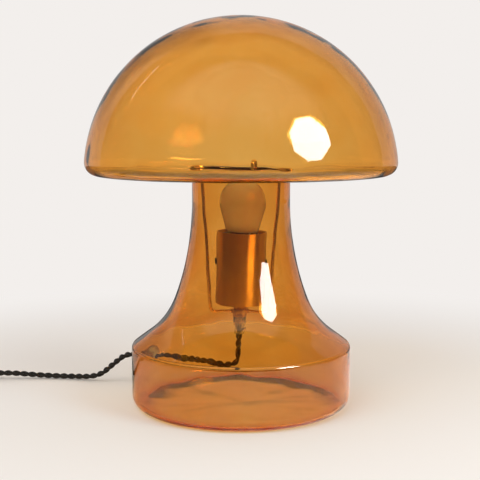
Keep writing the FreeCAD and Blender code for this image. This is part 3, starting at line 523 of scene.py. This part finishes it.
def fuller_inside(point):
    """Blown glass gathers at the rim and in the heel, and is thinner in the floor."""
    radius, height = point
    at_rim = max(0.0, 1 - (RIM_HEIGHT - height) / RIM_GATHER_DEPTH)
    from_heel = math.dist(point, (HEEL_FOOT + HEEL_GATHER_OUT, GLASS_WALL))
    in_heel = max(0.0, 1 - from_heel / HEEL_GATHER_REACH) ** 2 * HEEL_GATHER
    inward = RIM_GATHER * at_rim ** 0.5 + in_heel / 2
    thin = FLOOR_THINNING * min(1.0, max(0.0, (HEEL_FOOT - radius) / HEEL_RADIUS))
    lifted = in_heel - (thin if height < 2 * GLASS_WALL else 0.0)
    return (max(0.0, radius - (inward if radius > NECK_RADIUS / 2 else 0.0)), height + lifted)


def glass_base():
    outside = base_profile(0)
    inside = [fuller_inside(point) for point in base_profile(GLASS_WALL)]
    wall = GLASS_WALL + RIM_GATHER
    middle = (NECK_RADIUS - wall / 2, outside[-1][1])
    lip = [(middle[0] + wall / 2 * cos(radians(a)),
            middle[1] + GLASS_WALL / 2 * sin(radians(a))) for a in range(0, 181, RIM_STEP)]
    outline = joined(outside, lip, inside[::-1])
    mesh = turned("glass_base_blown", outline, GLASS_TURN_STEPS, BASE_UNEVENNESS, BASE_GLASS)
    work = working_object("base_work", mesh)
    drill = working_object("outlet_drill", drill_mesh())
    hole = work.modifiers.new("outlet", "BOOLEAN")
    hole.operation = "DIFFERENCE"
    hole.solver = "EXACT"
    hole.object = drill
    mesh = shade_by_angle(plain_mesh(work), SHARP_EDGE)
    bpy.data.objects.remove(drill)
    return piece("glass_base_blown", mesh, "glass_base", finish=BASE_GLASS)


def outward(azimuth):
    """The level direction at an azimuth, from the front towards the right."""
    a = radians(azimuth)
    return Vector((sin(a), -cos(a), 0))


def drill_mesh():
    """The drill that makes the cord's hole through the drum's wall."""
    form = bmesh.new()
    bmesh.ops.create_cone(form, cap_ends=True, segments=OUTLET_SIDES, radius1=OUTLET_RADIUS,
                          radius2=OUTLET_RADIUS, depth=6 * GLASS_WALL)
    way = outward(OUTLET_AZIMUTH)
    turn = way.to_track_quat("Z", "Y").to_matrix().to_4x4()
    place = Matrix.Translation(way * DRUM_RADIUS + Vector((0, 0, OUTLET_HEIGHT)))
    form.transform(place @ turn)
    return as_mesh(form, "outlet_drill")


def shade_profile(inset):
    """The shade from its opening to the crown: flat underside, round corner, hemisphere."""
    crown = (0.0, SHADE_UNDERSIDE)
    reach = SHADE_RADIUS - SHADE_CORNER_RADIUS
    corner = (math.sqrt(reach ** 2 - SHADE_CORNER_RADIUS ** 2),
              SHADE_UNDERSIDE + SHADE_CORNER_RADIUS)
    meeting = math.degrees(math.asin(SHADE_CORNER_RADIUS / reach))
    round_corner = arc(corner, SHADE_CORNER_RADIUS - inset, -90, meeting)
    dome = arc(crown, SHADE_RADIUS - inset, meeting, 90, 3 * MM)
    edge = (SHADE_OPENING_RADIUS + GLASS_WALL / 2, SHADE_UNDERSIDE + inset)
    return joined(run(edge, round_corner[0]), round_corner, dome)


def eased(share):
    """A share held between 0 and 1, with soft ends."""
    held = min(1.0, max(0.0, share))
    return held * held * (3 - 2 * held)


def fuller_lip(point):
    """The shade's glass is fuller round its opening, where the edge was cut and polished."""
    radius, height = point
    left = SHADE_OPENING_RADIUS + LIP_GATHER_END - radius
    gather = LIP_GATHER * eased(left / (LIP_GATHER_END - LIP_GATHER_START))
    underside = height < SHADE_UNDERSIDE + SHADE_CORNER_RADIUS
    return (radius, height + (gather if underside else 0.0))


def glass_shade():
    inside = [fuller_lip(point) for point in shade_profile(GLASS_WALL)]
    near = SHADE_OPENING_RADIUS + LIP_ROUNDING
    bottom = SHADE_UNDERSIDE + LIP_ROUNDING
    top = inside[0][1] - LIP_ROUNDING
    lip = arc((near, bottom), LIP_ROUNDING, 270, 180, finest=20)
    lip += arc((near, top), LIP_ROUNDING, 180, 90, finest=20)
    outline = joined(shade_profile(0)[::-1], lip, inside)
    mesh = turned("glass_shade_blown", outline, GLASS_TURN_STEPS, SHADE_UNEVENNESS,
                  FINISHES["amber_glass"])
    return piece("glass_shade_blown", mesh, "glass_shade")


# ---- bulb ----
HOLDER_LEAN = 1.5  # degrees, towards +X
LEAN_PIVOT = 138.0 * MM
GLOBE_RADIUS = 22.5 * MM
GLOBE_WALL = 1.2 * MM
BULB_TURN_STEPS = 96
SKIRT_TOP = -23.5 * MM  # heights from the middle of the globe
SKIRT_BOTTOM = -28.4 * MM
SKIRT_TOP_RADIUS = 16.4 * MM
SKIRT_BOTTOM_RADIUS = 15.4 * MM
SKIRT_BORE = 13.35 * MM
SKIRT_EDGE = 0.8 * MM


def bulb_outline(middle):
    """Globe, taper and the short skirt over the cap's edge: down the outside, up the inside."""
    foot_out = math.dist((0, 0), (SKIRT_TOP_RADIUS, SKIRT_TOP))
    down = math.degrees(math.atan2(SKIRT_TOP, SKIRT_TOP_RADIUS))
    leaving = down + math.degrees(math.acos(GLOBE_RADIUS / foot_out))
    outer = arc((0, middle), GLOBE_RADIUS, 90, leaving, finest=4.0)
    inner = arc((0, middle), GLOBE_RADIUS - GLOBE_WALL, leaving, 90, finest=4.0)
    skirt = [(SKIRT_TOP_RADIUS, middle + SKIRT_TOP),
             (SKIRT_BOTTOM_RADIUS, middle + SKIRT_BOTTOM + SKIRT_EDGE),
             (SKIRT_BOTTOM_RADIUS - SKIRT_EDGE / 2, middle + SKIRT_BOTTOM + SKIRT_EDGE / 4),
             (SKIRT_BOTTOM_RADIUS - SKIRT_EDGE, middle + SKIRT_BOTTOM),
             (SKIRT_BORE, middle + SKIRT_BOTTOM),
             (SKIRT_BORE, middle + SKIRT_TOP + GLOBE_WALL)]
    return joined(outer, run(outer[-1], skirt[0], 3 * MM), skirt,
                  run(skirt[-1], inner[0], 3 * MM), inner)


def opal_bulb():
    low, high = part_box("bulb_globe")
    lean = radians(HOLDER_LEAN)
    middle = LEAN_PIVOT + (high.z - GLOBE_RADIUS - LEAN_PIVOT) / cos(lean)
    mesh = turned("bulb_globe_opal", bulb_outline(middle), BULB_TURN_STEPS, 0.0,
                  FINISHES["opal_glass"])
    pivot = Matrix.Translation((0, 0, LEAN_PIVOT))
    mesh.transform(pivot @ Matrix.Rotation(lean, 4, "Y") @ pivot.inverted())
    piece("bulb_globe_opal", shade_by_angle(mesh, SHARP_EDGE), "bulb_globe")


# ---- hook of the back arm ----
HOOK_LEGS = 5.0 * MM  # the stretch of the hook's legs that is drawn longer
HOOK_LIFT = 4.0 * MM


def raised_hook(node):
    """The back arm's hook stands higher over the rim than the other two."""
    arm = bpy.data.objects[node + "_finished"]
    for corner in arm.data.vertices:
        corner.co.z += HOOK_LIFT * eased((corner.co.z - RIM_HEIGHT + HOOK_LEGS) / HOOK_LEGS)


# ---- cord ----
# Points of the route in millimetres: down from the grip, over the floor and out through the
# hole, along the ground to the switch, and on to the coil; then from the coil to the plug.
CORD_ROUTE = [
    (-1.60, 0.0, 76.0), (-1.90, 0.0, 64.0), (-3.60, 0.0, 54.0),
    (-2.64, 0.0, 37.5), (-37.1, 19.7, 35.8), (-114.8, 61.0, 37.5),
    (-134.0, 71.2, 21.0), (-150.5, 79.0, 5.4), (-181.0, 89.5, 3.0),
    (-214.0, 92.0, 3.6), (-242.0, 88.0, 7.0), (-262.0, 88.0, 7.0),
    (-334.0, 88.0, 7.0), (-344.0, 88.0, 7.0), (-368.0, 88.0, 3.0),
]
CORD_TAIL = [(-422.0, 26.0, 9.8), (-422.0, 0.0, 7.0), (-422.0, -18.0, 7.0)]


def coil_points():
    """The loops of the coil: in along the ground, up half a turn, and out again on top.
    Each half turn runs across the coil from one side to the other."""
    low, high = CORD_DIAMETER / 2, CORD_DIAMETER / 2 + COIL_PITCH
    half_turns = []
    place = COIL_RADIUS
    for step in range(2 * COIL_HALF_TURNS + 1):
        inward = step < COIL_HALF_TURNS
        climbing = step == COIL_HALF_TURNS
        growth = -COIL_PITCH * (step % 2) if inward else COIL_PITCH * (1 - step % 2)
        following = -math.copysign(abs(place) + (0 if climbing else growth), place)
        start_height = low if inward or climbing else high
        end_height = low if inward else high
        half_turns.append((place, following, start_height, end_height, step))
        place = following
    fuller = 1 / cos(math.pi / 2 / COIL_POINTS)  # the spline runs inside its points
    points = []
    for start, end, from_height, to_height, step in half_turns:
        middle, radius = (start + end) / 2, abs(start - end) / 2 * fuller
        side = -1 if step % 2 == 0 else 1
        for k in range(COIL_POINTS):
            turn = math.pi * (k + 0.5) / COIL_POINTS
            across = middle + math.copysign(radius, start) * cos(turn)
            height = from_height + (to_height - from_height) * (k + 0.5) / COIL_POINTS
            points.append(COIL_CENTRE + Vector((side * radius * sin(turn), across, height)))
            if step == 2 * COIL_HALF_TURNS and 2 * (k + 1) >= COIL_POINTS:
                return points
    return points


def cord_line():
    """The cord's centre line from the grip to the plug, read from its spline."""
    points = [Vector(p) * MM for p in CORD_ROUTE] + coil_points()
    points += [Vector(p) * MM for p in CORD_TAIL]
    curve = bpy.data.curves.new("cord_route", "CURVE")
    curve.dimensions = "3D"
    curve.resolution_u = 10
    spline = curve.splines.new("NURBS")
    spline.points.add(len(points) - 1)
    for knot, point in zip(spline.points, points):
        knot.co = (*point, 1.0)
    spline.order_u = 3
    spline.use_endpoint_u = True
    mesh = plain_mesh(working_object("cord_route", curve))
    return evenly([v.co.copy() for v in mesh.vertices], STRAND_STEP)


def evenly(points, step):
    """The same line with its points about step apart."""
    lengths = [0.0]
    for before, after in zip(points, points[1:]):
        lengths.append(lengths[-1] + (after - before).length)
    count = round(lengths[-1] / step)
    spaced, i = [], 0
    for k in range(count + 1):
        along = lengths[-1] * k / count
        while i < len(points) - 2 and lengths[i + 1] < along:
            i += 1
        share = (along - lengths[i]) / max(lengths[i + 1] - lengths[i], 1e-9)
        spaced.append(points[i].lerp(points[i + 1], min(1.0, share)))
    return spaced


def frames_along(points):
    """At each point the heading and a sideways direction that turns as little as it can."""
    headings = [(after - before).normalized()
                for before, after in zip(points[:1] + points, points[1:] + points[-1:])]
    side = headings[0].orthogonal().normalized()
    frames = []
    for heading in headings:
        side = (side - heading * side.dot(heading)).normalized()
        frames.append((heading, side, heading.cross(side)))
    return frames


def strand_line(line, phase):
    """A helix round the cord's centre line."""
    helix = []
    for k, (point, (heading, side, up)) in enumerate(zip(line, frames_along(line))):
        turn = math.tau * k * STRAND_STEP / STRAND_LAY + phase
        helix.append(point + (side * cos(turn) + up * sin(turn)) * STRAND_OFFSET)
    return helix


def twisted_cord():
    """Two braided strands laid round each other, in one mesh with closed ends."""
    line = cord_line()
    form = bmesh.new()
    own = form.loops.layers.uv.new("UVMap")
    for phase in (0.0, math.pi):
        centres = strand_line(line, phase)
        rings = []
        for point, (heading, side, up) in zip(centres, frames_along(centres)):
            turns = [math.tau * j / STRAND_SIDES for j in range(STRAND_SIDES)]
            spokes = [side * cos(t) + up * sin(t) for t in turns]
            rings.append([form.verts.new(point + spoke * STRAND_RADIUS) for spoke in spokes])
        for k, (first, second) in enumerate(zip(rings, rings[1:])):
            for j in range(STRAND_SIDES):
                after = (j + 1) % STRAND_SIDES
                face = form.faces.new((first[j], first[after], second[after], second[j]))
                corners = ((k, j), (k, j + 1), (k + 1, j + 1), (k + 1, j))
                for loop, (along, round_) in zip(face.loops, corners):
                    loop[own].uv = (along * STRAND_STEP / BRAID_STEP / 2,
                                    round_ * BRAID_ENDS / STRAND_SIDES / 2)
        form.faces.new(rings[0][::-1])
        form.faces.new(rings[-1])
    mesh = as_mesh(form, "twisted_cord")
    mesh.shade_smooth()
    return piece("twisted_cord", mesh, "mains_cord", "cord_coil"), line


# ---- ribbed strain reliefs ----
RELIEF_SIDES = 40
RIB_SIDES = 10
RIB_RADIUS = 0.55 * MM
RIBS_START, RIBS_SPAN = 0.12, 0.84  # shares of the sleeve's length that the ribs stand on
RELIEF_HEIGHT = 7.0 * MM  # of the switch's two sleeves above the ground
RELIEF_SEAT = 0.5 * MM  # how far a sleeve's root goes into its housing
RELIEF_MOUTH = 3.7 * MM
SWITCH_RELIEF_ROOT, SWITCH_RIBS = 4.7 * MM, 5
PLUG_RELIEF_ROOT, PLUG_RIBS = 5.1 * MM, 9
RELIEF_SHARP = 50  # degrees


def relief_group():
    """A tapered sleeve along Z with rings round it that shrink towards its mouth."""
    tree, given = group("ribbed_relief", [
        ("Length", "Float"), ("Mouth", "Float"), ("Root", "Float"), ("Ribs", "Int"),
        ("Rib", "Float"), ("Finish", "Material")])
    core = add(tree, "GeometryNodeMeshCone", {
        "Vertices": RELIEF_SIDES, "Radius Top": given["Mouth"], "Radius Bottom": given["Root"],
        "Depth": given["Length"]})
    ring = add(tree, "GeometryNodeCurvePrimitiveCircle", {
        "Resolution": RELIEF_SIDES, "Radius": 1.0})
    share = add(tree, MATH, {0: given["Rib"], 1: given["Root"]}, operation="DIVIDE")
    bead = add(tree, "GeometryNodeCurvePrimitiveCircle", {
        "Resolution": RIB_SIDES, "Radius": share})
    rib = add(tree, "GeometryNodeCurveToMesh", {"Curve": ring, "Profile Curve": bead})
    last = add(tree, MATH, {0: given["Length"], 1: RIBS_SPAN}, operation="MULTIPLY")
    end = add(tree, "ShaderNodeCombineXYZ", {"Z": last})
    first = add(tree, MATH, {0: given["Length"], 1: RIBS_START}, operation="MULTIPLY")
    start = add(tree, "ShaderNodeCombineXYZ", {"Z": first})
    places = add(tree, "GeometryNodeMeshLine", {
        "Count": given["Ribs"], "Start Location": start, "Offset": end}, mode="END_POINTS")
    here = add(tree, "GeometryNodeInputPosition")
    height = add(tree, "ShaderNodeSeparateXYZ", {"Vector": here})
    width = add(tree, RANGE, {
        "Value": height.outputs["Z"], "From Min": 0.0, "From Max": given["Length"],
        "To Min": given["Root"], "To Max": given["Mouth"]})
    ribs = add(tree, "GeometryNodeInstanceOnPoints", {
        "Points": places, "Instance": rib, "Scale": width})
    both = add(tree, "GeometryNodeJoinGeometry")
    tree.links.new(core.outputs["Mesh"], both.inputs[0])
    tree.links.new(ribs.outputs["Instances"], both.inputs[0])
    close_group(tree, both, given["Finish"])
    return tree


def ribbed_relief(tree, start, way, length, root, ribs):
    """One relief: its root at start, its mouth length metres along way."""
    work = working_object("relief_work", bpy.data.meshes.new("relief"))
    use_group(work, tree, Length=length, Mouth=RELIEF_MOUTH, Root=root, Ribs=ribs,
              Rib=RIB_RADIUS, Finish=FINISHES["black_rubber"])
    mesh = plain_mesh(work)
    turn = Vector(way).to_track_quat("Z", "Y").to_matrix().to_4x4()
    mesh.transform(Matrix.Translation(start) @ turn)
    return mesh


def merged(name, meshes):
    form = bmesh.new()
    for mesh in meshes:
        form.from_mesh(mesh)
    return as_mesh(form, name)


def strain_reliefs():
    tree = relief_group()
    low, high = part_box("switch_reliefs")
    body_low, body_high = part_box("switch_cover")
    line = (low.y + high.y) / 2
    ends = [(body_high.x - RELIEF_SEAT, (1, 0, 0), high.x - body_high.x),
            (body_low.x + RELIEF_SEAT, (-1, 0, 0), body_low.x - low.x)]
    meshes = [ribbed_relief(tree, Vector((start, line, RELIEF_HEIGHT)), way,
                            length + RELIEF_SEAT, SWITCH_RELIEF_ROOT, SWITCH_RIBS)
              for start, way, length in ends]
    mesh = shade_by_angle(merged("switch_reliefs_ribbed", meshes), RELIEF_SHARP)
    piece("switch_reliefs_ribbed", mesh, "switch_reliefs")
    low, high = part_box("plug_relief")
    start = Vector(((low.x + high.x) / 2, low.y - RELIEF_SEAT, (low.z + high.z) / 2))
    mesh = ribbed_relief(tree, start, (0, 1, 0), high.y - start.y, PLUG_RELIEF_ROOT, PLUG_RIBS)
    piece("plug_relief_ribbed", shade_by_angle(mesh, RELIEF_SHARP), "plug_relief")


# ---- everything ----
glass_base()
glass_shade()
opal_bulb()
cord, cord_path = twisted_cord()
strain_reliefs()

REMADE = ("glass_base", "glass_shade", "bulb_globe", "mains_cord", "cord_coil",
          "switch_reliefs", "plug_relief")
SMOOTH_NODES = ("conductors", "bulb_cap", "bulb_insulator")
ARMS = ("hanger_arm_1", "hanger_arm_2", "hanger_arm_3")
EDGE_WIDTH = 0.3  # millimetres, of a broken edge, but for these:
EDGE_WIDTHS = {
    "nipple": 0.2, "hub_spacer": 0.25, "grip_screw": 0.2, "holder_cap": 0.4,
    "holder_sleeve": 0.4, "screw_shell": 0.15, "bulb_tip": 0.25, "switch_base": 0.25,
    "switch_cover": 0.25, "switch_screws": 0.2, "plug_pins": 0.5,
}
for node in SMOOTH_NODES:
    finished_node(node)
for node in ARMS:
    finished_node(node, finish=WIRE)
raised_hook(max(ARMS, key=lambda node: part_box(node)[1].y))
for node in SLOT_OF:
    if node not in REMADE + SMOOTH_NODES + ARMS:
        finished_node(node, EDGE_WIDTHS.get(node, EDGE_WIDTH) * MM)

SWITCH_AND_PLUG = ["switch_base", "switch_cover", "switch_rocker", "switch_screws",
                   "switch_terminals", "plug_body", "plug_pins"]
on_cord = [bpy.data.objects[name + "_finished"] for name in SWITCH_AND_PLUG]
on_cord += [bpy.data.objects["switch_reliefs_ribbed"], bpy.data.objects["plug_relief_ribbed"]]


# ---- floor, light and camera ----
BACKGROUND = colour("#F3EFEC")
FLOOR_REACH = 2.3  # metres from the lamp to the end of the floor
FLOOR_SIDES = 128
FLOOR_DROP = 0.4 * MM  # below the lamp's foot, so that no two faces coincide
FADE_START, FADE_END = 0.25, 0.7  # metres out, from lit floor to plain background
FLOOR_MIRRORED = 0.1  # brightness of that far part in polished surfaces
FLOOR_BY_EDGE = 0.55  # and where an edge of the glass has turned the light round
EDGE_PASSES = 2.0  # times that such light has entered or left the glass


def been(tree, kind, more_than=0.5):
    """1 for light that has met surfaces of a kind more often than this, or else 0: Glossy
    for polished surfaces, Diffuse for matt ones, Transmission for the faces of glass."""
    path = add(tree, "ShaderNodeLightPath")
    return add(tree, MATH, {
        0: path.outputs[kind + " Depth"], 1: more_than}, operation="GREATER_THAN")


def floor():
    """A plain pale floor that fades into the background far out, and whose far part is dim
    in the lamp's polished surfaces."""
    form = bmesh.new()
    bmesh.ops.create_circle(form, cap_ends=True, segments=FLOOR_SIDES, radius=FLOOR_REACH)
    form.transform(Matrix.Translation((0, 0, -FLOOR_DROP)))
    mesh = as_mesh(form, "floor")
    made, tree = new_material("pale_floor")
    place = add(tree, "ShaderNodeTexCoord")
    far = add(tree, "ShaderNodeVectorMath", {0: place.outputs["Object"]}, operation="LENGTH")
    fade = add(tree, RANGE, {
        "Value": far.outputs["Value"], "From Min": FADE_START, "From Max": FADE_END},
        interpolation_type="SMOOTHSTEP")
    lit = add(tree, "ShaderNodeBsdfPrincipled", {
        "Base Color": colour("#F3F0ED"), "Roughness": 0.6, "Specular IOR Level": 0.0})
    path = add(tree, "ShaderNodeLightPath")
    by_edge = add(tree, MATH, {
        0: path.outputs["Transmission Depth"], 1: EDGE_PASSES, 2: 0.5}, operation="COMPARE")
    dim = add(tree, MIX, {0: by_edge, 2: FLOOR_MIRRORED, 3: FLOOR_BY_EDGE})
    level = add(tree, MIX, {0: been(tree, "Glossy"), 2: 1.0, 3: dim})
    plain = add(tree, "ShaderNodeEmission", {"Color": BACKGROUND, "Strength": level})
    shown = add(tree, "ShaderNodeMixShader", {0: fade, 1: lit, 2: plain})
    add(tree, "ShaderNodeOutputMaterial", {"Surface": shown})
    mesh.materials.append(made)
    working_object("floor", mesh)


PANEL_TARGET = Vector((0, 0, 0.22))
OCTAGON_REACH = 0.39  # metres from the middle to a corner
STRIP_HALF_LENGTH = 0.2
STRIP_HALF_WIDTH = 0.012
STRIP_SLANT = 0.1  # metres that its ends are set off sideways
WIDE_HALF = 0.8
HALVES_BLEND = 0.05  # metres each side of the middle, between a panel's halves

# Each panel's azimuth, elevation and distance, and its brightness: in a surface's own
# reflection, in its lower and its upper half by way of the glass, and on matt things.
PANELS = {
    "octagonal_box": ((50.3, 23.5, 1.5), (22.0, 2.5, 58.0, 8.0)),
    "strip_box": ((-111.4, 40.7, 1.385), (3.0, 3.0, 3.0, 3.0)),
    "wide_box": ((-38, 42, 2.2), (0.0, 0.0, 0.0, 3.0)),
}


def light_panel(name, outline, in_reflections=True):
    """A flat lit panel that faces the lamp. It shows in reflections and gives light, and
    isn't seen straight or through the glass."""
    (azimuth, elevation, distance), (outside, lower, upper, matt) = PANELS[name]
    way = outward(azimuth) * cos(radians(elevation))
    way.z = sin(radians(elevation))
    mesh = bpy.data.meshes.new(name)
    mesh.from_pydata([(x, y, 0) for x, y in outline], [], [tuple(range(len(outline)))])
    turn = way.to_track_quat("Z", "Y").to_matrix().to_4x4()
    mesh.transform(Matrix.Translation(PANEL_TARGET + way * distance) @ turn)
    made, tree = new_material(name)
    path = add(tree, "ShaderNodeLightPath")
    place = add(tree, "ShaderNodeTexCoord")
    axes = add(tree, "ShaderNodeSeparateXYZ", {"Vector": place.outputs["Object"]})
    middle = PANEL_TARGET.z + way.z * distance
    halves = add(tree, RANGE, {
        "Value": axes.outputs["Z"], "From Min": middle - HALVES_BLEND,
        "From Max": middle + HALVES_BLEND, "To Min": lower, "To Max": upper})
    glossy = add(tree, MIX, {0: been(tree, "Transmission"), 2: outside, 3: halves})
    power = add(tree, MIX, {0: been(tree, "Glossy"), 2: matt, 3: glossy})
    glow = add(tree, "ShaderNodeEmission", {"Color": colour("#FFFDFA"), "Strength": power})
    shining = add(tree, MATH, {
        0: been(tree, "Glossy"), 1: been(tree, "Diffuse")}, operation="MAXIMUM")
    unseen = add(tree, MATH, {
        0: path.outputs["Is Transmission Ray"], 1: shining}, operation="SUBTRACT")
    clear = add(tree, "ShaderNodeBsdfTransparent")
    shown = add(tree, "ShaderNodeMixShader", {0: unseen, 1: glow, 2: clear})
    add(tree, "ShaderNodeOutputMaterial", {"Surface": shown})
    mesh.materials.append(made)
    panel = working_object(name, mesh)
    panel.visible_camera = False
    panel.visible_shadow = False
    panel.visible_glossy = in_reflections
    panel.visible_transmission = in_reflections


def slab(wide, long, slant=0.0):
    """The corners of a panel from half its width and length, its ends set off sideways."""
    return [(slant - wide, -long), (slant + wide, -long), (wide - slant, long),
            (-wide - slant, long)]


def studio():
    """An eight-sided soft box at the right front, a thin strip behind at the left, and a
    wide soft light at the left front that shows in no reflection."""
    light_panel("octagonal_box", [polar((0, 0), OCTAGON_REACH, 45 * k + 22.5) for k in range(8)])
    light_panel("strip_box", slab(STRIP_HALF_WIDTH, STRIP_HALF_LENGTH, STRIP_SLANT))
    light_panel("wide_box", slab(WIDE_HALF, WIDE_HALF), in_reflections=False)


def within(tree, angle, low, high, soft):
    """1 where an angle in degrees lies between two others, with a soft edge."""
    steps = []
    for start, end in ((low - soft, low + soft), (high + soft, high - soft)):
        given = {"Value": angle, "From Min": radians(start), "From Max": radians(end)}
        steps.append(add(tree, RANGE, given, interpolation_type="SMOOTHSTEP"))
    return add(tree, MATH, {0: steps[0], 1: steps[1]}, operation="MULTIPLY")


# What the polished surfaces mirror, part by part: brightness, from and to azimuth (from the
# front, towards the right), from and to elevation, softness of the edge, all in degrees.
MIRRORED = [
    (0.25, 192, 222, 12, 60, 8.0),  # a darker part behind at the left
    (0.90, -75, 75, 38, 88, 12.0),  # a pale part over the camera
    (0.22, -110, -30, 8, 40, 8.0),  # a dim part at the left
]
MIRRORED_LEVEL = 0.2
AZIMUTH_START = -100  # degrees; those below it count on from 180
BACK_LEVEL = 0.55  # of the lit part behind the lamp
BACK_INSIDE = 1.05  # the same part, as it reaches what stands inside the glass
BACK_WIDER = 0.42  # and how much further round it reaches there
BACK_SPREAD = 59.0  # degrees from the middle of that part to its edge
BACK_BLEND = 1.0  # degrees each side of that edge
INSIDE_PASSES = 1.5  # light that reaches the inside has passed more faces of glass
OVERHEAD_START, OVERHEAD_END = 40, 65  # degrees up, where the plain background darkens
OVERHEAD_LEVEL = 0.3
MATT_LEVEL = 0.6  # of the whole, as light on matt things


def world():
    """A pale studio. Straight on and through glass it is the plain background, darker far
    overhead; the polished surfaces mirror its parts."""
    made = bpy.data.worlds.new("pale_studio")
    bpy.context.scene.world = made
    made.use_nodes = True
    tree = made.node_tree
    tree.nodes.clear()
    way = add(tree, "ShaderNodeTexCoord")
    axes = add(tree, "ShaderNodeSeparateXYZ", {"Vector": way.outputs["Generated"]})
    front = add(tree, MATH, {0: axes.outputs["Y"], 1: -1.0}, operation="MULTIPLY")
    azimuth = add(tree, MATH, {0: axes.outputs["X"], 1: front}, operation="ARCTAN2")
    behind = add(tree, MATH, {0: azimuth, 1: radians(AZIMUTH_START)}, operation="LESS_THAN")
    turn = add(tree, MATH, {0: behind, 1: math.tau}, operation="MULTIPLY")
    onward = add(tree, MATH, {0: azimuth, 1: turn})
    height = add(tree, MATH, {0: axes.outputs["Z"]}, operation="ARCSINE")
    path = add(tree, "ShaderNodeLightPath")
    inside = been(tree, "Transmission", INSIDE_PASSES)
    facing = add(tree, MATH, {
        0: inside, 1: BACK_WIDER, 2: axes.outputs["Y"]}, operation="MULTIPLY_ADD")
    back = add(tree, RANGE, {
        "Value": facing, "From Min": cos(radians(BACK_SPREAD + BACK_BLEND)),
        "From Max": cos(radians(BACK_SPREAD - BACK_BLEND))}, interpolation_type="SMOOTHSTEP")
    back_level = add(tree, MIX, {0: inside, 2: BACK_LEVEL, 3: BACK_INSIDE})
    level = add(tree, MIX, {0: back, 2: MIRRORED_LEVEL, 3: back_level})
    for brightness, left, right, low, high, soft in MIRRORED:
        across = within(tree, onward if right > 180 else azimuth, left, right, soft)
        up = within(tree, height, low, high, soft)
        share = add(tree, MATH, {0: across, 1: up}, operation="MULTIPLY")
        level = add(tree, MIX, {0: share, 2: level, 3: brightness})
    overhead = add(tree, RANGE, {
        "Value": height, "From Min": radians(OVERHEAD_START), "From Max": radians(OVERHEAD_END),
        "To Min": 1.0, "To Max": OVERHEAD_LEVEL})
    seen = add(tree, MIX, {0: been(tree, "Glossy"), 2: overhead, 3: level})
    unlit = add(tree, MIX, {0: path.outputs["Is Camera Ray"], 2: seen, 3: 1.0})
    strength = add(tree, MIX, {0: been(tree, "Diffuse"), 2: unlit, 3: MATT_LEVEL})
    glow = add(tree, "ShaderNodeBackground", {"Color": BACKGROUND, "Strength": strength})
    add(tree, "ShaderNodeOutputWorld", {"Surface": glow})


CAMERA_SIDE = -0.001  # metres
CAMERA_DISTANCE = 0.975
CAMERA_HEIGHT = 0.275
CAMERA_TILT = 6.716  # degrees below level
FOCAL_LENGTH = 76.4  # for the camera's 36 mm sensor


def camera():
    """The photograph's viewpoint: level with the bulb and looking slightly down."""
    data = bpy.data.cameras.new("camera")
    data.lens = FOCAL_LENGTH
    data.clip_start, data.clip_end = 0.05, 60.0
    view = working_object("camera", data)
    view.location = (CAMERA_SIDE, -CAMERA_DISTANCE, CAMERA_HEIGHT)
    view.rotation_euler = (radians(90 - CAMERA_TILT), 0, 0)
    bpy.context.scene.camera = view


floor()
studio()
world()
camera()
bpy.context.scene.view_settings.view_transform = "Standard"
